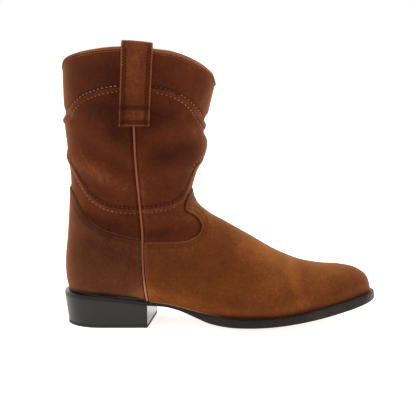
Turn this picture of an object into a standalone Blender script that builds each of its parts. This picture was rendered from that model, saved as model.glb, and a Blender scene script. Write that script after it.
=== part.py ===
"""Western boot for the right foot, in brown suede on a low stacked heel.

The boot stands empty on the floor in metres, +Z up, with the toe to +X and the outer side of the foot
to -Y. Every soft piece comes from one skin function: side lines give the outline from the side, sole
stations give the outline from above, and girths give the width of the shaft. The tables are in millimetres.
"""

import math
from collections import namedtuple

import bmesh
import bpy
import numpy as np

MM = 0.001

# Driving sizes
SOLE_LENGTH = 300.0
BALL_WIDTH = 93.0
CLEARANCE = 0.3
WALL = 2.0
OVERLAY = 1.2

# Plan of the sole
HEEL_ROUND = 34.0
TOE_ROUND = 26.0
SEAT_BACK = -SOLE_LENGTH / 2
SOLE_TIP = SOLE_LENGTH / 2

# Heel block under the seat
HEEL_BREAST_X = -65.6
HEEL_BREAST_SLANT = 0.11
HEEL_BACK_TAPER = 3.4
HEEL_SIDE_TAPER = 1.6
TOP_LIFT = 2.6

# Trim
PIPING_RADIUS = 1.5
SEAM_HALF_GAP = PIPING_RADIUS + CLEARANCE + 0.1
BINDING = 0.9
BINDING_DEPTH = 3.4
BINDING_SLACK = 0.7
STRAP_WIDTH = 28.0
STRAP_THICK = 1.8
STRAP_FOOT_Z = 191.6
STRAP_TAIL_Z = 214.0
STRAP_RISE = 3.4
STRAP_FOOT_X = -78.5
STRAP_LEAN = 0.045
INNER_SEAM_BACK = 6.0
INNER_SEAM_LEAVES_Z = 92.0
INSOLE_THICK = 3.0

# How finely the skin is cut into faces
ROUND_STEPS = 19
HEIGHT_STEPS = 32
END_CROWDING = 0.35
SOLE_STEPS = 30
LINE_SAMPLES = 1600

# Share of the sole's length, width as a share of the ball, sideways middle of the sole, sideways place of
# the ridge above it, height of the sole's top, thickness of its edge, drop of its middle below the edge,
# and how far the welt stands out from the upper.
Station = namedtuple("Station", "name along width centre_y ridge_y top_z edge crown welt")
SOLE_STATIONS = (
    Station("heel back", 0.000, 0.710, 0.0, 0.0, 31.6, 4.4, 0.0, 1.6),
    Station("heel seat", 0.060, 0.716, 0.0, 0.0, 31.4, 4.4, 0.0, 1.6),
    Station("heel middle", 0.140, 0.724, 0.0, 0.0, 30.2, 4.4, 0.0, 1.4),
    Station("heel breast", 0.270, 0.716, -0.6, 0.0, 25.4, 3.8, 0.0, 0.9),
    Station("waist back", 0.335, 0.700, -1.4, 0.0, 22.9, 3.0, 0.6, 0.5),
    Station("waist", 0.380, 0.692, -2.0, 0.1, 19.6, 3.8, 1.4, 0.5),
    Station("waist front", 0.420, 0.716, -2.7, 0.3, 16.6, 5.7, 2.0, 1.2),
    Station("shank end", 0.460, 0.776, -3.2, 0.6, 14.2, 7.9, 3.0, 2.4),
    Station("ball back", 0.520, 0.896, -3.0, 1.4, 11.8, 8.3, 3.7, 3.6),
    Station("ball", 0.600, 1.000, -1.8, 2.6, 10.8, 7.6, 3.8, 4.0),
    Station("ball front", 0.670, 0.998, -0.2, 3.2, 11.6, 7.6, 3.7, 4.0),
    Station("toe root", 0.740, 0.936, 1.4, 3.4, 14.0, 8.2, 2.4, 4.0),
    Station("toe box", 0.815, 0.806, 2.3, 3.2, 18.1, 9.2, 0.9, 4.0),
    Station("toe front", 0.885, 0.646, 2.6, 3.0, 22.5, 9.5, 0.6, 4.0),
    Station("toe end", 0.945, 0.520, 2.6, 2.7, 26.8, 9.5, 0.5, 4.0),
    Station("toe tip", 1.000, 0.470, 2.5, 2.5, 30.4, 8.2, 0.4, 4.0),
)

# Side lines of the upper
SidePoint = namedtuple("SidePoint", "name x z")
FRONT_LINE = (
    SidePoint("toe feather", 144.0, 29.5),
    SidePoint("nose", 143.2, 35.6),
    SidePoint("nose top", 140.4, 43.0),
    SidePoint("toe top", 131.6, 49.6),
    SidePoint("toe crown", 114.8, 53.5),
    SidePoint("toe dip", 96.8, 54.5),
    SidePoint("vamp low", 78.4, 57.6),
    SidePoint("vamp", 55.2, 66.7),
    SidePoint("vamp high", 26.2, 83.4),
    SidePoint("instep", 3.3, 96.5),
    SidePoint("throat", -11.8, 105.0),
    SidePoint("throat bend", -23.4, 116.0),
    SidePoint("ankle front", -26.9, 127.0),
    SidePoint("ankle rise", -24.6, 137.0),
    SidePoint("slouch", -22.2, 146.6),
    SidePoint("slouch top", -18.3, 153.2),
    SidePoint("shin low", -15.2, 159.6),
    SidePoint("shin", -13.9, 172.0),
    SidePoint("shin high", -12.0, 197.0),
    SidePoint("collar front", -7.9, 216.0),
    SidePoint("collar dip", -4.5, 229.5),
)
BACK_LINE = (
    SidePoint("heel feather", -144.0, 31.9),
    SidePoint("heel swell", -146.6, 44.0),
    SidePoint("heel", -147.2, 60.0),
    SidePoint("heel top", -144.8, 86.0),
    SidePoint("tendon", -143.0, 112.0),
    SidePoint("ankle back", -142.2, 132.0),
    SidePoint("calf low", -142.8, 150.0),
    SidePoint("calf bend", -144.2, 164.0),
    SidePoint("calf", -146.6, 182.0),
    SidePoint("calf high", -148.0, 212.0),
    SidePoint("collar back", -148.7, 244.5),
)
COLLAR_LINE = (
    SidePoint("back dip", -148.7, 244.5),
    SidePoint("back corner", -146.9, 249.0),
    SidePoint("back turn", -142.4, 252.8),
    SidePoint("back rise", -135.0, 255.8),
    SidePoint("back shoulder", -120.0, 259.2),
    SidePoint("back crown", -91.0, 262.2),
    SidePoint("front crown", -64.0, 260.0),
    SidePoint("front shoulder", -45.0, 257.2),
    SidePoint("front rise", -28.0, 251.2),
    SidePoint("front corner", -13.0, 242.2),
    SidePoint("front turn", -7.2, 236.6),
    SidePoint("front dip", -4.5, 229.5),
)
SEAM_LINE = (
    SidePoint("sole", -68.4, 25.0),
    SidePoint("sole turn", -70.6, 38.0),
    SidePoint("heel side", -72.2, 54.0),
    SidePoint("ankle", -73.0, 96.0),
    SidePoint("shaft low", -75.4, 124.0),
    SidePoint("shaft", -78.0, 158.0),
    SidePoint("strap", -79.2, 196.0),
)
VAMP_LINE = (
    SidePoint("seam", -73.0, 82.6),
    SidePoint("side", -52.0, 82.6),
    SidePoint("lobe foot", -38.0, 83.0),
    SidePoint("lobe low", -27.0, 84.6),
    SidePoint("lobe turn", -20.4, 88.0),
    SidePoint("lobe nose", -17.5, 95.0),
    SidePoint("lobe top", -20.7, 102.4),
    SidePoint("lobe back", -26.5, 107.6),
    SidePoint("corner", -32.8, 112.6),
    SidePoint("tongue", -32.0, 118.1),
    SidePoint("tongue rise", -29.3, 125.1),
    SidePoint("tongue top", -25.0, 132.0),
)
COUNTER_LINE = (
    SidePoint("seam", -73.0, 85.0),
    SidePoint("side", -94.0, 90.2),
    SidePoint("sweep", -113.0, 96.4),
    SidePoint("rise", -127.0, 107.4),
    SidePoint("back", -137.0, 125.0),
    SidePoint("top", -146.0, 137.0),
)

# Half-width of the shaft at each height
Girth = namedtuple("Girth", "name z half_width")
SHAFT_GIRTHS = (
    Girth("instep", 84.0, 37.0),
    Girth("ankle", 124.0, 38.6),
    Girth("calf low", 160.0, 42.4),
    Girth("calf", 200.0, 45.2),
    Girth("collar", 262.0, 46.4),
)

# Slack folds of the shaft: a soft ridge or trough along a line from one side point to another
Fold = namedtuple("Fold", "name x0 z0 x1 z1 half_width height")
FOLDS = (
    Fold("front crease high", -6.0, 193.0, -30.0, 199.0, 4.4, -2.6),
    Fold("front crease low", -8.0, 182.5, -26.0, 184.0, 4.0, -3.0),
    Fold("front bulge", -6.0, 170.0, -44.0, 175.0, 8.0, 1.8),
    Fold("front trough", -31.0, 157.5, -60.0, 163.0, 7.0, -2.6),
    Fold("back crease", -151.0, 202.5, -142.0, 201.0, 4.0, -1.6),
    Fold("back swell", -150.0, 194.5, -140.0, 192.5, 3.6, 1.0),
    Fold("back ridge", -140.0, 160.5, -92.0, 133.0, 8.0, 2.2),
    Fold("back trough", -122.0, 172.0, -84.0, 148.0, 9.0, -1.6),
    Fold("ankle tuck", -66.0, 91.0, -34.0, 95.0, 8.0, -2.2),
    Fold("heel tuck", -122.0, 108.0, -82.0, 95.0, 8.0, -1.4),
)

# Where the shape turns from foot into shaft
FOOT_TOP_Z, SHAFT_FOOT_Z = 42.0, 116.0
ARCH_TOP_Z, UPRIGHT_Z = 84.0, 132.0
ARCH_SHARE = 0.92
ARCH_LEAST = 4.0
HEEL_CURVE = 31.0
TOE_FULLNESS, INSTEP_FULLNESS, SHAFT_FULLNESS = 2.25, 1.80, 2.15
WALL_SWELL, WALL_SWELL_HEIGHT = 2.2, 9.0
NOSE_LEAD = 0.5
UNDER_SHAFT_SLOPE = 8.0
SAG_ENDS, CROWN_STARTS = 0.52, 0.72

# Colours and finishes
SUEDE = ((0.20, 0.075, 0.028), 0.92)
PIPE_LEATHER = ((0.36, 0.11, 0.065), 0.55)
SOLE_EDGE = ((0.035, 0.027, 0.025), 0.45)
RUBBER = ((0.02, 0.018, 0.017), 0.6)
INSOLE_LEATHER = ((0.42, 0.27, 0.16), 0.6)


# Curves
def smooth_step(share):
    """0 below 0, 1 above 1, and an even S between."""
    share = np.clip(share, 0.0, 1.0)
    return share * share * (3.0 - 2.0 * share)


def fullness(share, power=2.0):
    """Square of a rounded edge's width: 0 at the edge, 1 from share 1 inwards, round at power 2."""
    return 1.0 - (1.0 - np.minimum(share, 1.0)) ** power


def curve_through(knots, values):
    """A cubic curve through a table's values, whose slope at each knot follows its neighbours."""
    knots = np.asarray(knots, float)
    values = np.asarray(values, float)
    slopes = np.gradient(values, knots)

    def at(where):
        where = np.clip(where, knots[0], knots[-1])
        i = np.clip(np.searchsorted(knots, where, side="right") - 1, 0, len(knots) - 2)
        step = knots[i + 1] - knots[i]
        f = (where - knots[i]) / step
        start = (1.0 + 2.0 * f) * (1.0 - f) ** 2 * values[i] + f * (1.0 - f) ** 2 * step * slopes[i]
        end = f * f * (3.0 - 2.0 * f) * values[i + 1] + f * f * (f - 1.0) * step * slopes[i + 1]
        return start + end

    return at


def side_line(points):
    """Even samples (x, z) along a smooth line through side points."""
    rough = np.array([(p.x, p.z) for p in points])
    run = np.r_[0.0, np.cumsum(np.hypot(*np.diff(rough, axis=0).T))]
    dense = np.linspace(0.0, run[-1], LINE_SAMPLES)
    line = np.stack([curve_through(run, rough[:, k])(dense) for k in (0, 1)], axis=-1)
    walk = np.r_[0.0, np.cumsum(np.hypot(*np.diff(line, axis=0).T))]
    even = np.linspace(0.0, walk[-1], LINE_SAMPLES)
    return np.stack([np.interp(even, walk, line[:, k]) for k in (0, 1)], axis=-1)


def along(line, share):
    """The point at a share of a side line's length."""
    shares = np.linspace(0.0, 1.0, len(line))
    return np.stack([np.interp(share, shares, line[:, k]) for k in (0, 1)], axis=-1)


FRONT = side_line(FRONT_LINE)
BACK = side_line(BACK_LINE)
COLLAR = side_line(COLLAR_LINE)
SEAM = side_line(SEAM_LINE)
VAMP = side_line(VAMP_LINE)
COUNTER = side_line(COUNTER_LINE)
RIDGE = FRONT[: int(np.argmin(FRONT[:, 0])) + 1][::-1]

STATION_X = [(s.along - 0.5) * SOLE_LENGTH for s in SOLE_STATIONS]
sole_width = curve_through(STATION_X, [s.width * BALL_WIDTH / 2 for s in SOLE_STATIONS])
centre_y = curve_through(STATION_X, [s.centre_y for s in SOLE_STATIONS])
ridge_y = curve_through(STATION_X, [s.ridge_y for s in SOLE_STATIONS])
sole_top = curve_through(STATION_X, [s.top_z for s in SOLE_STATIONS])
sole_edge = curve_through(STATION_X, [s.edge for s in SOLE_STATIONS])
sole_crown = curve_through(STATION_X, [s.crown for s in SOLE_STATIONS])
welt_width = curve_through(STATION_X, [s.welt for s in SOLE_STATIONS])
shaft_width = curve_through([g.z for g in SHAFT_GIRTHS], [g.half_width for g in SHAFT_GIRTHS])


def sole_half(x):
    """Half-width of the sole at x, rounded off at the heel and the toe."""
    heel = fullness((x - SEAT_BACK) / HEEL_ROUND)
    toe = fullness((SOLE_TIP - x) / TOE_ROUND)
    return sole_width(x) * np.sqrt(np.clip(heel * toe, 0.0, 1.0))


def sole_under(x):
    """Height of the sole's underside along its middle, level with the floor under the ball."""
    return np.maximum(sole_top(x) - sole_edge(x) - sole_crown(x), 0.0)


# Skin of the upper
def back_x(z):
    """The back line's place at a height."""
    return np.interp(z, BACK[:, 1], BACK[:, 0])


def front_x(z):
    """The front line's place at a height."""
    return np.interp(z, FRONT[:, 1], FRONT[:, 0])


def ridge_z(x):
    """Height of the front line over x, carried steeply up under the shaft."""
    return np.interp(x, RIDGE[:, 0], RIDGE[:, 1]) + UNDER_SHAFT_SLOPE * np.maximum(RIDGE[0, 0] - x, 0.0)


def middle_y(x, z):
    """Sideways middle of the upper: the last's ridge over the foot, straight up the shaft."""
    return ridge_y(x) * (1.0 - smooth_step((z - FOOT_TOP_Z) / (SHAFT_FOOT_Z - FOOT_TOP_Z)))


def width_squared(x, z, side):
    """Square of the upper's half-width at a side point: the foot's plan blended into the shaft's girth,
    rounded off at the back line, the toe and the front line. side is -1 outside the foot and +1 inside."""
    rise = smooth_step((z - FOOT_TOP_Z) / (SHAFT_FOOT_Z - FOOT_TOP_Z))
    upright = smooth_step((z - ARCH_TOP_Z) / (UPRIGHT_Z - ARCH_TOP_Z))
    floor = sole_top(x)
    swell = WALL_SWELL * (1.0 - np.exp(-np.maximum(z - floor, 0.0) / WALL_SWELL_HEIGHT))
    foot = sole_width(x) - welt_width(x) + side * (centre_y(x) - ridge_y(x)) + swell
    base = foot + (shaft_width(z) - foot) * rise
    half_length = (front_x(np.maximum(z, SHAFT_FOOT_Z)) - back_x(z)) / 2
    heel_curve = HEEL_CURVE + (half_length - HEEL_CURVE) * rise
    back = fullness((x - back_x(z)) / heel_curve)
    toe = fullness((FRONT[0, 0] + NOSE_LEAD - x) / TOE_ROUND)
    arch = np.maximum(ARCH_SHARE * (ridge_z(x) - floor), ARCH_LEAST)
    power = INSTEP_FULLNESS + (TOE_FULLNESS - INSTEP_FULLNESS) * smooth_step(x / SOLE_TIP)
    over_foot = fullness((ridge_z(x) - z) / arch, power)
    over_shaft = fullness((front_x(z) - x) / half_length, SHAFT_FULLNESS)
    return base**2 * back * toe * (over_foot + (over_shaft - over_foot) * upright)


def fold_height(x, z):
    """How far the slack folds lift or sink the skin at a side point."""
    total = np.zeros(np.shape(x))
    for fold in FOLDS:
        dx, dz = fold.x1 - fold.x0, fold.z1 - fold.z0
        share = np.clip(((x - fold.x0) * dx + (z - fold.z0) * dz) / (dx * dx + dz * dz), 0.0, 1.0)
        away = np.hypot(x - fold.x0 - share * dx, z - fold.z0 - share * dz)
        total = total + fold.height * np.exp(-((away / fold.half_width) ** 2))
    return total


def skin(x, z, side, lift=0.0):
    """Points of the upper's outer face at side points, moved out by lift along the face's normal."""
    x, z = np.asarray(x, float), np.asarray(z, float)
    step = 0.05
    half = np.sqrt(np.maximum(width_squared(x, z, side), 0.0))
    wide_x = (width_squared(x + step, z, side) - width_squared(x - step, z, side)) / (2 * step)
    wide_z = (width_squared(x, z + step, side) - width_squared(x, z - step, side)) / (2 * step)
    lean_x = (middle_y(x + step, z) - middle_y(x - step, z)) / (2 * step)
    lean_z = (middle_y(x, z + step) - middle_y(x, z - step)) / (2 * step)
    y = side * half
    normal = np.stack([-wide_x - 2 * y * lean_x, 2 * y, -wide_z - 2 * y * lean_z], axis=-1)
    normal /= np.maximum(np.linalg.norm(normal, axis=-1, keepdims=True), 1e-9)
    place = np.stack([x, middle_y(x, z) + y, z], axis=-1)
    out = np.asarray(lift + fold_height(x, z))
    return place + normal * out[..., None]


def side_grid(rows, columns):
    """Side points of the upper: rows run from the sole to the collar, columns from back to front."""
    up = np.linspace(0.0, 1.0, rows)[:, None]
    up = up - END_CROWDING * np.sin(2 * np.pi * up) / (2 * np.pi)
    share = (1.0 - np.cos(np.pi * np.linspace(0.0, 1.0, columns))) / 2
    back = along(BACK, up)
    front = along(FRONT, up)
    grid = back + (front - back) * share[None, :, None]
    sole_x = grid[0, :, 0]
    sag = sole_top(sole_x) + CLEARANCE - grid[0, :, 1]
    crown = np.interp(grid[-1, :, 0], COLLAR[:, 0], COLLAR[:, 1]) - grid[-1, :, 1]
    grid[..., 1] += sag * (1.0 - smooth_step(up / SAG_ENDS))
    grid[..., 1] += crown * smooth_step((up - CROWN_STARTS) / (1.0 - CROWN_STARTS))
    return grid


def skin_loops(lift):
    """Closed loops round the boot from the sole to the collar, outer side first, then inner."""
    grid = side_grid(HEIGHT_STEPS + 1, ROUND_STEPS + 1)
    outer = skin(grid[..., 0], grid[..., 1], -1, lift)
    inner = skin(grid[..., 0], grid[..., 1], +1, lift)
    return np.concatenate([outer, inner[:, -2:0:-1]], axis=1)


# Blender helpers
def collection(name):
    """A new collection in the scene."""
    made = bpy.data.collections.new(name)
    bpy.context.scene.collection.children.link(made)
    return made


def material(name, finish):
    """A plain material of a colour and a roughness."""
    colour, roughness = finish
    made = bpy.data.materials.new(name)
    made.use_nodes = True
    shader = made.node_tree.nodes["Principled BSDF"]
    shader.inputs["Base Color"].default_value = (*colour, 1.0)
    shader.inputs["Roughness"].default_value = roughness
    shader.inputs["Metallic"].default_value = 0.0
    return made


def place(name, data, group, finish):
    """A new object in a collection, with its material."""
    made = bpy.data.objects.new(name, data)
    if finish is not None:
        data.materials.append(finish)
    group.objects.link(made)
    return made


def mesh_from(name, points, faces):
    """A mesh through points given in millimetres."""
    made = bpy.data.meshes.new(name)
    made.from_pydata((np.asarray(points) * MM).tolist(), [], faces)
    made.update()
    return made


def sheet(name, rows, closed):
    """A mesh through rows of points; closed joins each row's last point to its first. Each square is cut along
    one diagonal, the mirrored one over a closed row's second half, so that both sides of the boot are cut
    alike and layers of one skin stay apart."""
    rows = np.asarray(rows)
    count, width = rows.shape[:2]
    faces = []
    for j in range(count - 1):
        for i in range(width if closed else width - 1):
            k = (i + 1) % width
            low, high = j * width, (j + 1) * width
            if closed and i >= width // 2:
                faces += [(low + i, low + k, high + i), (low + k, high + k, high + i)]
            else:
                faces += [(low + i, low + k, high + k), (low + i, high + k, high + i)]
    return mesh_from(name, rows.reshape(-1, 3), faces)


def loft(name, sections):
    """A closed solid through sections of equal count, capped at both ends."""
    sections = np.asarray(sections)
    made = sheet(name, sections, closed=True)
    editing = bmesh.new()
    editing.from_mesh(made)
    bmesh.ops.holes_fill(editing, edges=[e for e in editing.edges if e.is_boundary], sides=0)
    bmesh.ops.recalc_face_normals(editing, faces=editing.faces)
    editing.to_mesh(made)
    editing.free()
    return made


def solidify(made, thickness, offset):
    """Gives a sheet its thickness: offset -1 inwards, +1 outwards."""
    shell = made.modifiers.new("Thickness", "SOLIDIFY")
    shell.thickness = thickness * MM
    shell.offset = offset
    shell.use_quality_normals = True


def shade(made, angle=40.0):
    """Smooth shading that keeps edges sharper than the angle."""
    made.data.shade_smooth()
    made.data.set_sharp_from_angle(angle=math.radians(angle))


# Sole unit
def sole_stations():
    """Places along the sole, closer together at the heel and the toe."""
    share = (1.0 - np.cos(np.pi * np.linspace(0.0, 1.0, SOLE_STEPS))) / 2
    return SEAT_BACK + share * SOLE_LENGTH


def outsole(group, finish):
    """Sections across the sole: a flat top, upright edges and an underside with a level middle."""
    flat_share = 0.62
    end_half = 2.0
    sections = []
    for x in sole_stations():
        half = max(float(sole_half(x)), end_half)
        middle, top = float(centre_y(x)), float(sole_top(x))
        edge, under = top - float(sole_edge(x)), float(sole_under(x))
        sections.append([
            (x, middle - half, top), (x, middle + half, top),
            (x, middle + half, edge), (x, middle + flat_share * half, under),
            (x, middle - flat_share * half, under), (x, middle - half, edge),
        ])
    made = place("outsole", loft("outsole", sections), group, finish)
    shade(made)


def heel_outline(level):
    """Side points of the heel's outline, back to breast: level 0 under the sole, 1 at the floor."""
    steps = 14
    share = 1.0 - np.cos(np.pi / 2 * np.linspace(0.0, 1.0, steps))
    rows = []
    for side in (-1, 1):
        back = SEAT_BACK + 0.4 + HEEL_BACK_TAPER * level
        breast = HEEL_BREAST_X + HEEL_BREAST_SLANT * side * 30.0
        x = back + (breast - back) * share
        half = np.maximum(sole_half(x - HEEL_BACK_TAPER * level * (1 - share)) - 0.4, 2.0)
        y = centre_y(x) + side * (half - HEEL_SIDE_TAPER * level)
        rows.append(np.stack([x, y], axis=-1))
    return rows


def heel_block(group, finish):
    """Sections from the heel's back to its breast, under the sole's seat and over the top lift."""
    outer_top, inner_top = heel_outline(0.0)
    outer_foot, inner_foot = heel_outline(1.0)
    foot_z = TOP_LIFT + CLEARANCE
    sections = []
    for a, b, c, d in zip(outer_top, inner_top, inner_foot, outer_foot):
        seat = [(x, y, float(sole_top(x) - sole_edge(x)) - CLEARANCE) for x, y in (a, b)]
        sections.append([*seat, (*c, foot_z), (*d, foot_z)])
    made = place("heel", loft("heel", sections), group, finish)
    shade(made)


def top_lift(group, finish):
    """The heel's wearing piece: its outline filled and extruded."""
    outer, inner = heel_outline(1.0)
    ring = np.concatenate([outer, inner[::-1]])
    curve = bpy.data.curves.new("top_lift", "CURVE")
    curve.dimensions = "2D"
    curve.fill_mode = "BOTH"
    curve.extrude = TOP_LIFT / 2 * MM
    spline = curve.splines.new("POLY")
    spline.points.add(len(ring) - 1)
    for point, (x, y) in zip(spline.points, ring):
        point.co = (x * MM, y * MM, 0.0, 1.0)
    spline.use_cyclic_u = True
    made = place("top_lift", curve, group, finish)
    made.location.z = TOP_LIFT / 2 * MM


def insole(group, finish):
    """A board on the sole, inside the upper's wall all round."""
    inset = WALL + 1.7
    end_half = 2.0
    back, front = BACK[0, 0] + inset, FRONT[0, 0] - inset
    share = (1.0 - np.cos(np.pi * np.linspace(0.0, 1.0, SOLE_STEPS - 6))) / 2
    sections = []
    for x in back + (front - back) * share:
        heel = float(fullness((x - back) / HEEL_CURVE))
        toe = float(fullness((front - x) / TOE_ROUND))
        half = (float(sole_width(x) - welt_width(x)) - inset) * math.sqrt(max(heel * toe, 0.0))
        half = max(half, end_half)
        middle, low = float(centre_y(x)), float(sole_top(x)) + CLEARANCE
        sections.append([
            (x, middle - half, low), (x, middle + half, low),
            (x, middle + half, low + INSOLE_THICK), (x, middle - half, low + INSOLE_THICK),
        ])
    made = place("insole", loft("insole", sections), group, finish)
    shade(made)


# Upper and its overlays
def upper(group, finish):
    """The hollow upper, open at the collar and underneath."""
    made = place("upper", sheet("upper", skin_loops(0.0), closed=True), group, finish)
    solidify(made, WALL, -1.0)
    shade(made)


def prism(name, outline, group):
    """A cutter: a side outline carried right across the boot."""
    reach = SOLE_LENGTH / 4
    ring = [(x, -reach, z) for x, z in outline]
    made = mesh_from(name, ring, [tuple(range(len(ring)))])
    editing = bmesh.new()
    editing.from_mesh(made)
    swept = bmesh.ops.extrude_face_region(editing, geom=editing.faces[:])
    corners = [v for v in swept["geom"] if isinstance(v, bmesh.types.BMVert)]
    bmesh.ops.translate(editing, verts=corners, vec=(0.0, 2 * reach * MM, 0.0))
    bmesh.ops.recalc_face_normals(editing, faces=editing.faces)
    editing.to_mesh(made)
    editing.free()
    cutter = place(name, made, group, None)
    cutter.hide_render = True
    cutter.display_type = "WIRE"
    return cutter


def feather_between(first_x, last_x):
    """Side points just over the sole from one x to another."""
    x = np.linspace(first_x, last_x, 14)
    return np.stack([x, sole_top(x) + CLEARANCE], axis=-1)


def seam_edge(top_z, shift):
    """Side points of the seam from the sole up to a height, moved along the boot by shift."""
    z = np.linspace(sole_top(SEAM[0, 0]) + CLEARANCE, top_z, 8)
    return np.stack([np.interp(z, SEAM[:, 1], SEAM[:, 0]) + shift, z], axis=-1)


def overlay(name, outline, group, cutters, finish):
    """A panel over the upper: the layer just outside the upper's skin, cut to a side outline."""
    made = place(name, sheet(name, skin_loops(CLEARANCE), closed=True), group, finish)
    solidify(made, OVERLAY, 1.0)
    cut = made.modifiers.new("Outline", "BOOLEAN")
    cut.operation = "INTERSECT"
    cut.object = prism(name + "_outline", outline, cutters)
    shade(made)


def vamp(group, cutters, finish):
    """The foot's panel, from the side seams round the toe and up to the tongue."""
    line = along(VAMP, np.linspace(0.0, 1.0, 40))
    line = line[line[:, 0] > line[0, 0] + SEAM_HALF_GAP]
    seam = seam_edge(VAMP_LINE[0].z, SEAM_HALF_GAP)
    beyond = SOLE_TIP + 10.0
    floor = feather_between(seam[0, 0], beyond)
    outside = [(beyond, 110.0), (20.0, 150.0), (line[-1, 0] + 6.0, line[-1, 1] + 4.0)]
    overlay("vamp", [*floor, *outside, *line[::-1], *seam[::-1][:-1]], group, cutters, finish)


def counter(group, cutters, finish):
    """The heel's panel, from the side seams round the back."""
    line = along(COUNTER, np.linspace(0.0, 1.0, 24))
    line = line[line[:, 0] < line[0, 0] - SEAM_HALF_GAP]
    seam = seam_edge(COUNTER_LINE[0].z, -SEAM_HALF_GAP)
    beyond = SEAT_BACK - 10.0
    floor = feather_between(seam[0, 0], beyond)
    outside = [(beyond, line[-1, 1] + 10.0), (line[-1, 0] - 5.0, line[-1, 1] + 5.0)]
    overlay("counter", [*floor, *outside, *line[::-1], *seam[::-1][:-1]], group, cutters, finish)


def seam_x(z, side):
    """The side seam at a height; up the shaft the inner seam runs further back than the outer one."""
    back = smooth_step((z - INNER_SEAM_LEAVES_Z) / (STRAP_FOOT_Z - INNER_SEAM_LEAVES_Z))
    return np.interp(z, SEAM[:, 1], SEAM[:, 0]) - INNER_SEAM_BACK * back * (side > 0)


def piping(name, side, group, finish):
    """A cord in the side seam, from the sole up to the pull strap."""
    points = 20
    low = float(sole_top(SEAM[0, 0])) + CLEARANCE + PIPING_RADIUS
    z = np.linspace(low, STRAP_FOOT_Z - 1.0, points)
    path = skin(seam_x(z, side), z, side, PIPING_RADIUS + CLEARANCE)
    curve = bpy.data.curves.new(name, "CURVE")
    curve.dimensions = "3D"
    curve.bevel_depth = PIPING_RADIUS * MM
    curve.bevel_resolution = 2
    curve.use_fill_caps = True
    spline = curve.splines.new("POLY")
    spline.points.add(points - 1)
    for point, (x, y, z) in zip(spline.points, path * MM):
        point.co = (x, y, z, 1.0)
    place(name, curve, group, finish)


def collar_binding(group, finish):
    """A folded strip over the collar's edge: a U profile carried round the top loop."""
    edge = skin_loops(0.0)[-1]
    out = skin_loops(1.0)[-1] - edge
    up = np.cross(np.roll(edge, -1, axis=0) - np.roll(edge, 1, axis=0), out)
    up *= np.sign(up[:, 2:]) / np.linalg.norm(up, axis=1, keepdims=True)
    inside, outside, low, high = -WALL - BINDING_SLACK, CLEARANCE, -BINDING_DEPTH, BINDING_SLACK
    profile = (
        (outside, low), (outside + BINDING, low), (outside + BINDING, high), (outside, high + BINDING),
        (inside, high + BINDING), (inside - BINDING, high), (inside - BINDING, low), (inside, low),
        (inside, high), (outside, high),
    )
    ring = np.stack([edge + out * n + up * u for n, u in profile], axis=1)
    made = sheet("collar_binding", np.concatenate([ring, ring[:1]]), closed=True)
    editing = bmesh.new()
    editing.from_mesh(made)
    bmesh.ops.remove_doubles(editing, verts=editing.verts, dist=1e-6)
    bmesh.ops.recalc_face_normals(editing, faces=editing.faces)
    editing.to_mesh(made)
    editing.free()
    shade(place("collar_binding", made, group, finish))


def collar_z(x):
    """Height of the collar's edge over x."""
    return np.interp(x, COLLAR[:, 0], COLLAR[:, 1])


def pull_strap(name, side, group, finish):
    """A folded strap sewn outside and inside the collar, with a low loop over its edge."""
    foot_x = STRAP_FOOT_X - INNER_SEAM_BACK * (side > 0)
    across = foot_x + np.linspace(-STRAP_WIDTH / 2, STRAP_WIDTH / 2, 5)
    over_binding = CLEARANCE + BINDING + CLEARANCE
    under_binding = WALL + BINDING_SLACK + BINDING + CLEARANCE
    near, steps, arch_steps = 14.0, 7, 5
    rows = []
    for share in np.linspace(0.0, 1.0, steps):
        top = collar_z(across)
        z = STRAP_FOOT_Z + (top - STRAP_FOOT_Z) * share
        x = across + STRAP_LEAN * (z - STRAP_FOOT_Z)
        rest = smooth_step((z - top + near) / (near - BINDING_DEPTH - 2.0))
        rows.append(skin(x, z, side, 2 * CLEARANCE + (over_binding - 2 * CLEARANCE) * rest))
    x = across + STRAP_LEAN * (collar_z(across) - STRAP_FOOT_Z)
    z = collar_z(x)
    out, home = skin(x, z, side, over_binding), skin(x, z, side, -under_binding)
    rows[-1] = out
    rise = np.array([0.0, 0.0, over_binding + STRAP_RISE])
    for turn in np.linspace(0.0, np.pi, arch_steps + 2)[1:-1]:
        rows.append((out + home) / 2 + (out - home) / 2 * np.cos(turn) + rise * np.sin(turn))
    for share in np.linspace(0.0, 1.0, 5):
        level = z + (STRAP_TAIL_Z - z) * share
        rows.append(skin(x, level, side, -under_binding))
    ribbon = np.asarray(rows)
    made = place(name, sheet(name, ribbon if side < 0 else ribbon[:, ::-1], closed=False), group, finish)
    solidify(made, STRAP_THICK, 1.0)
    shade(made)


def build():
    """Clears the scene and makes every piece of the boot."""
    for old in list(bpy.data.objects):
        bpy.data.objects.remove(old)
    boot = collection("Western boot")
    cutters = collection("Outlines")
    suede = material("Suede", SUEDE)
    pipe = material("Piping leather", PIPE_LEATHER)
    edge = material("Sole edge", SOLE_EDGE)
    outsole(boot, edge)
    heel_block(boot, edge)
    top_lift(boot, material("Top lift rubber", RUBBER))
    insole(boot, material("Insole leather", INSOLE_LEATHER))
    upper(boot, suede)
    vamp(boot, cutters, suede)
    counter(boot, cutters, suede)
    collar_binding(boot, suede)
    for name, side in (("outer", -1), ("inner", 1)):
        piping("side_piping_" + name, side, boot, pipe)
        pull_strap("pull_strap_" + name, side, boot, suede)


build()
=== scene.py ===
"""Western boot for the right foot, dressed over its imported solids.

The boot stands on the floor with the toe to +X and the outer side of the foot to -Y. Every soft piece is
worked out from one skin function of side points (x, z): side lines give the outline from the side, sole
stations give the outline from above, and girths give the width of the shaft. Tables and functions are in
millimetres, and the meshes and properties are in metres.
"""

import math
from collections import namedtuple

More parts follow.
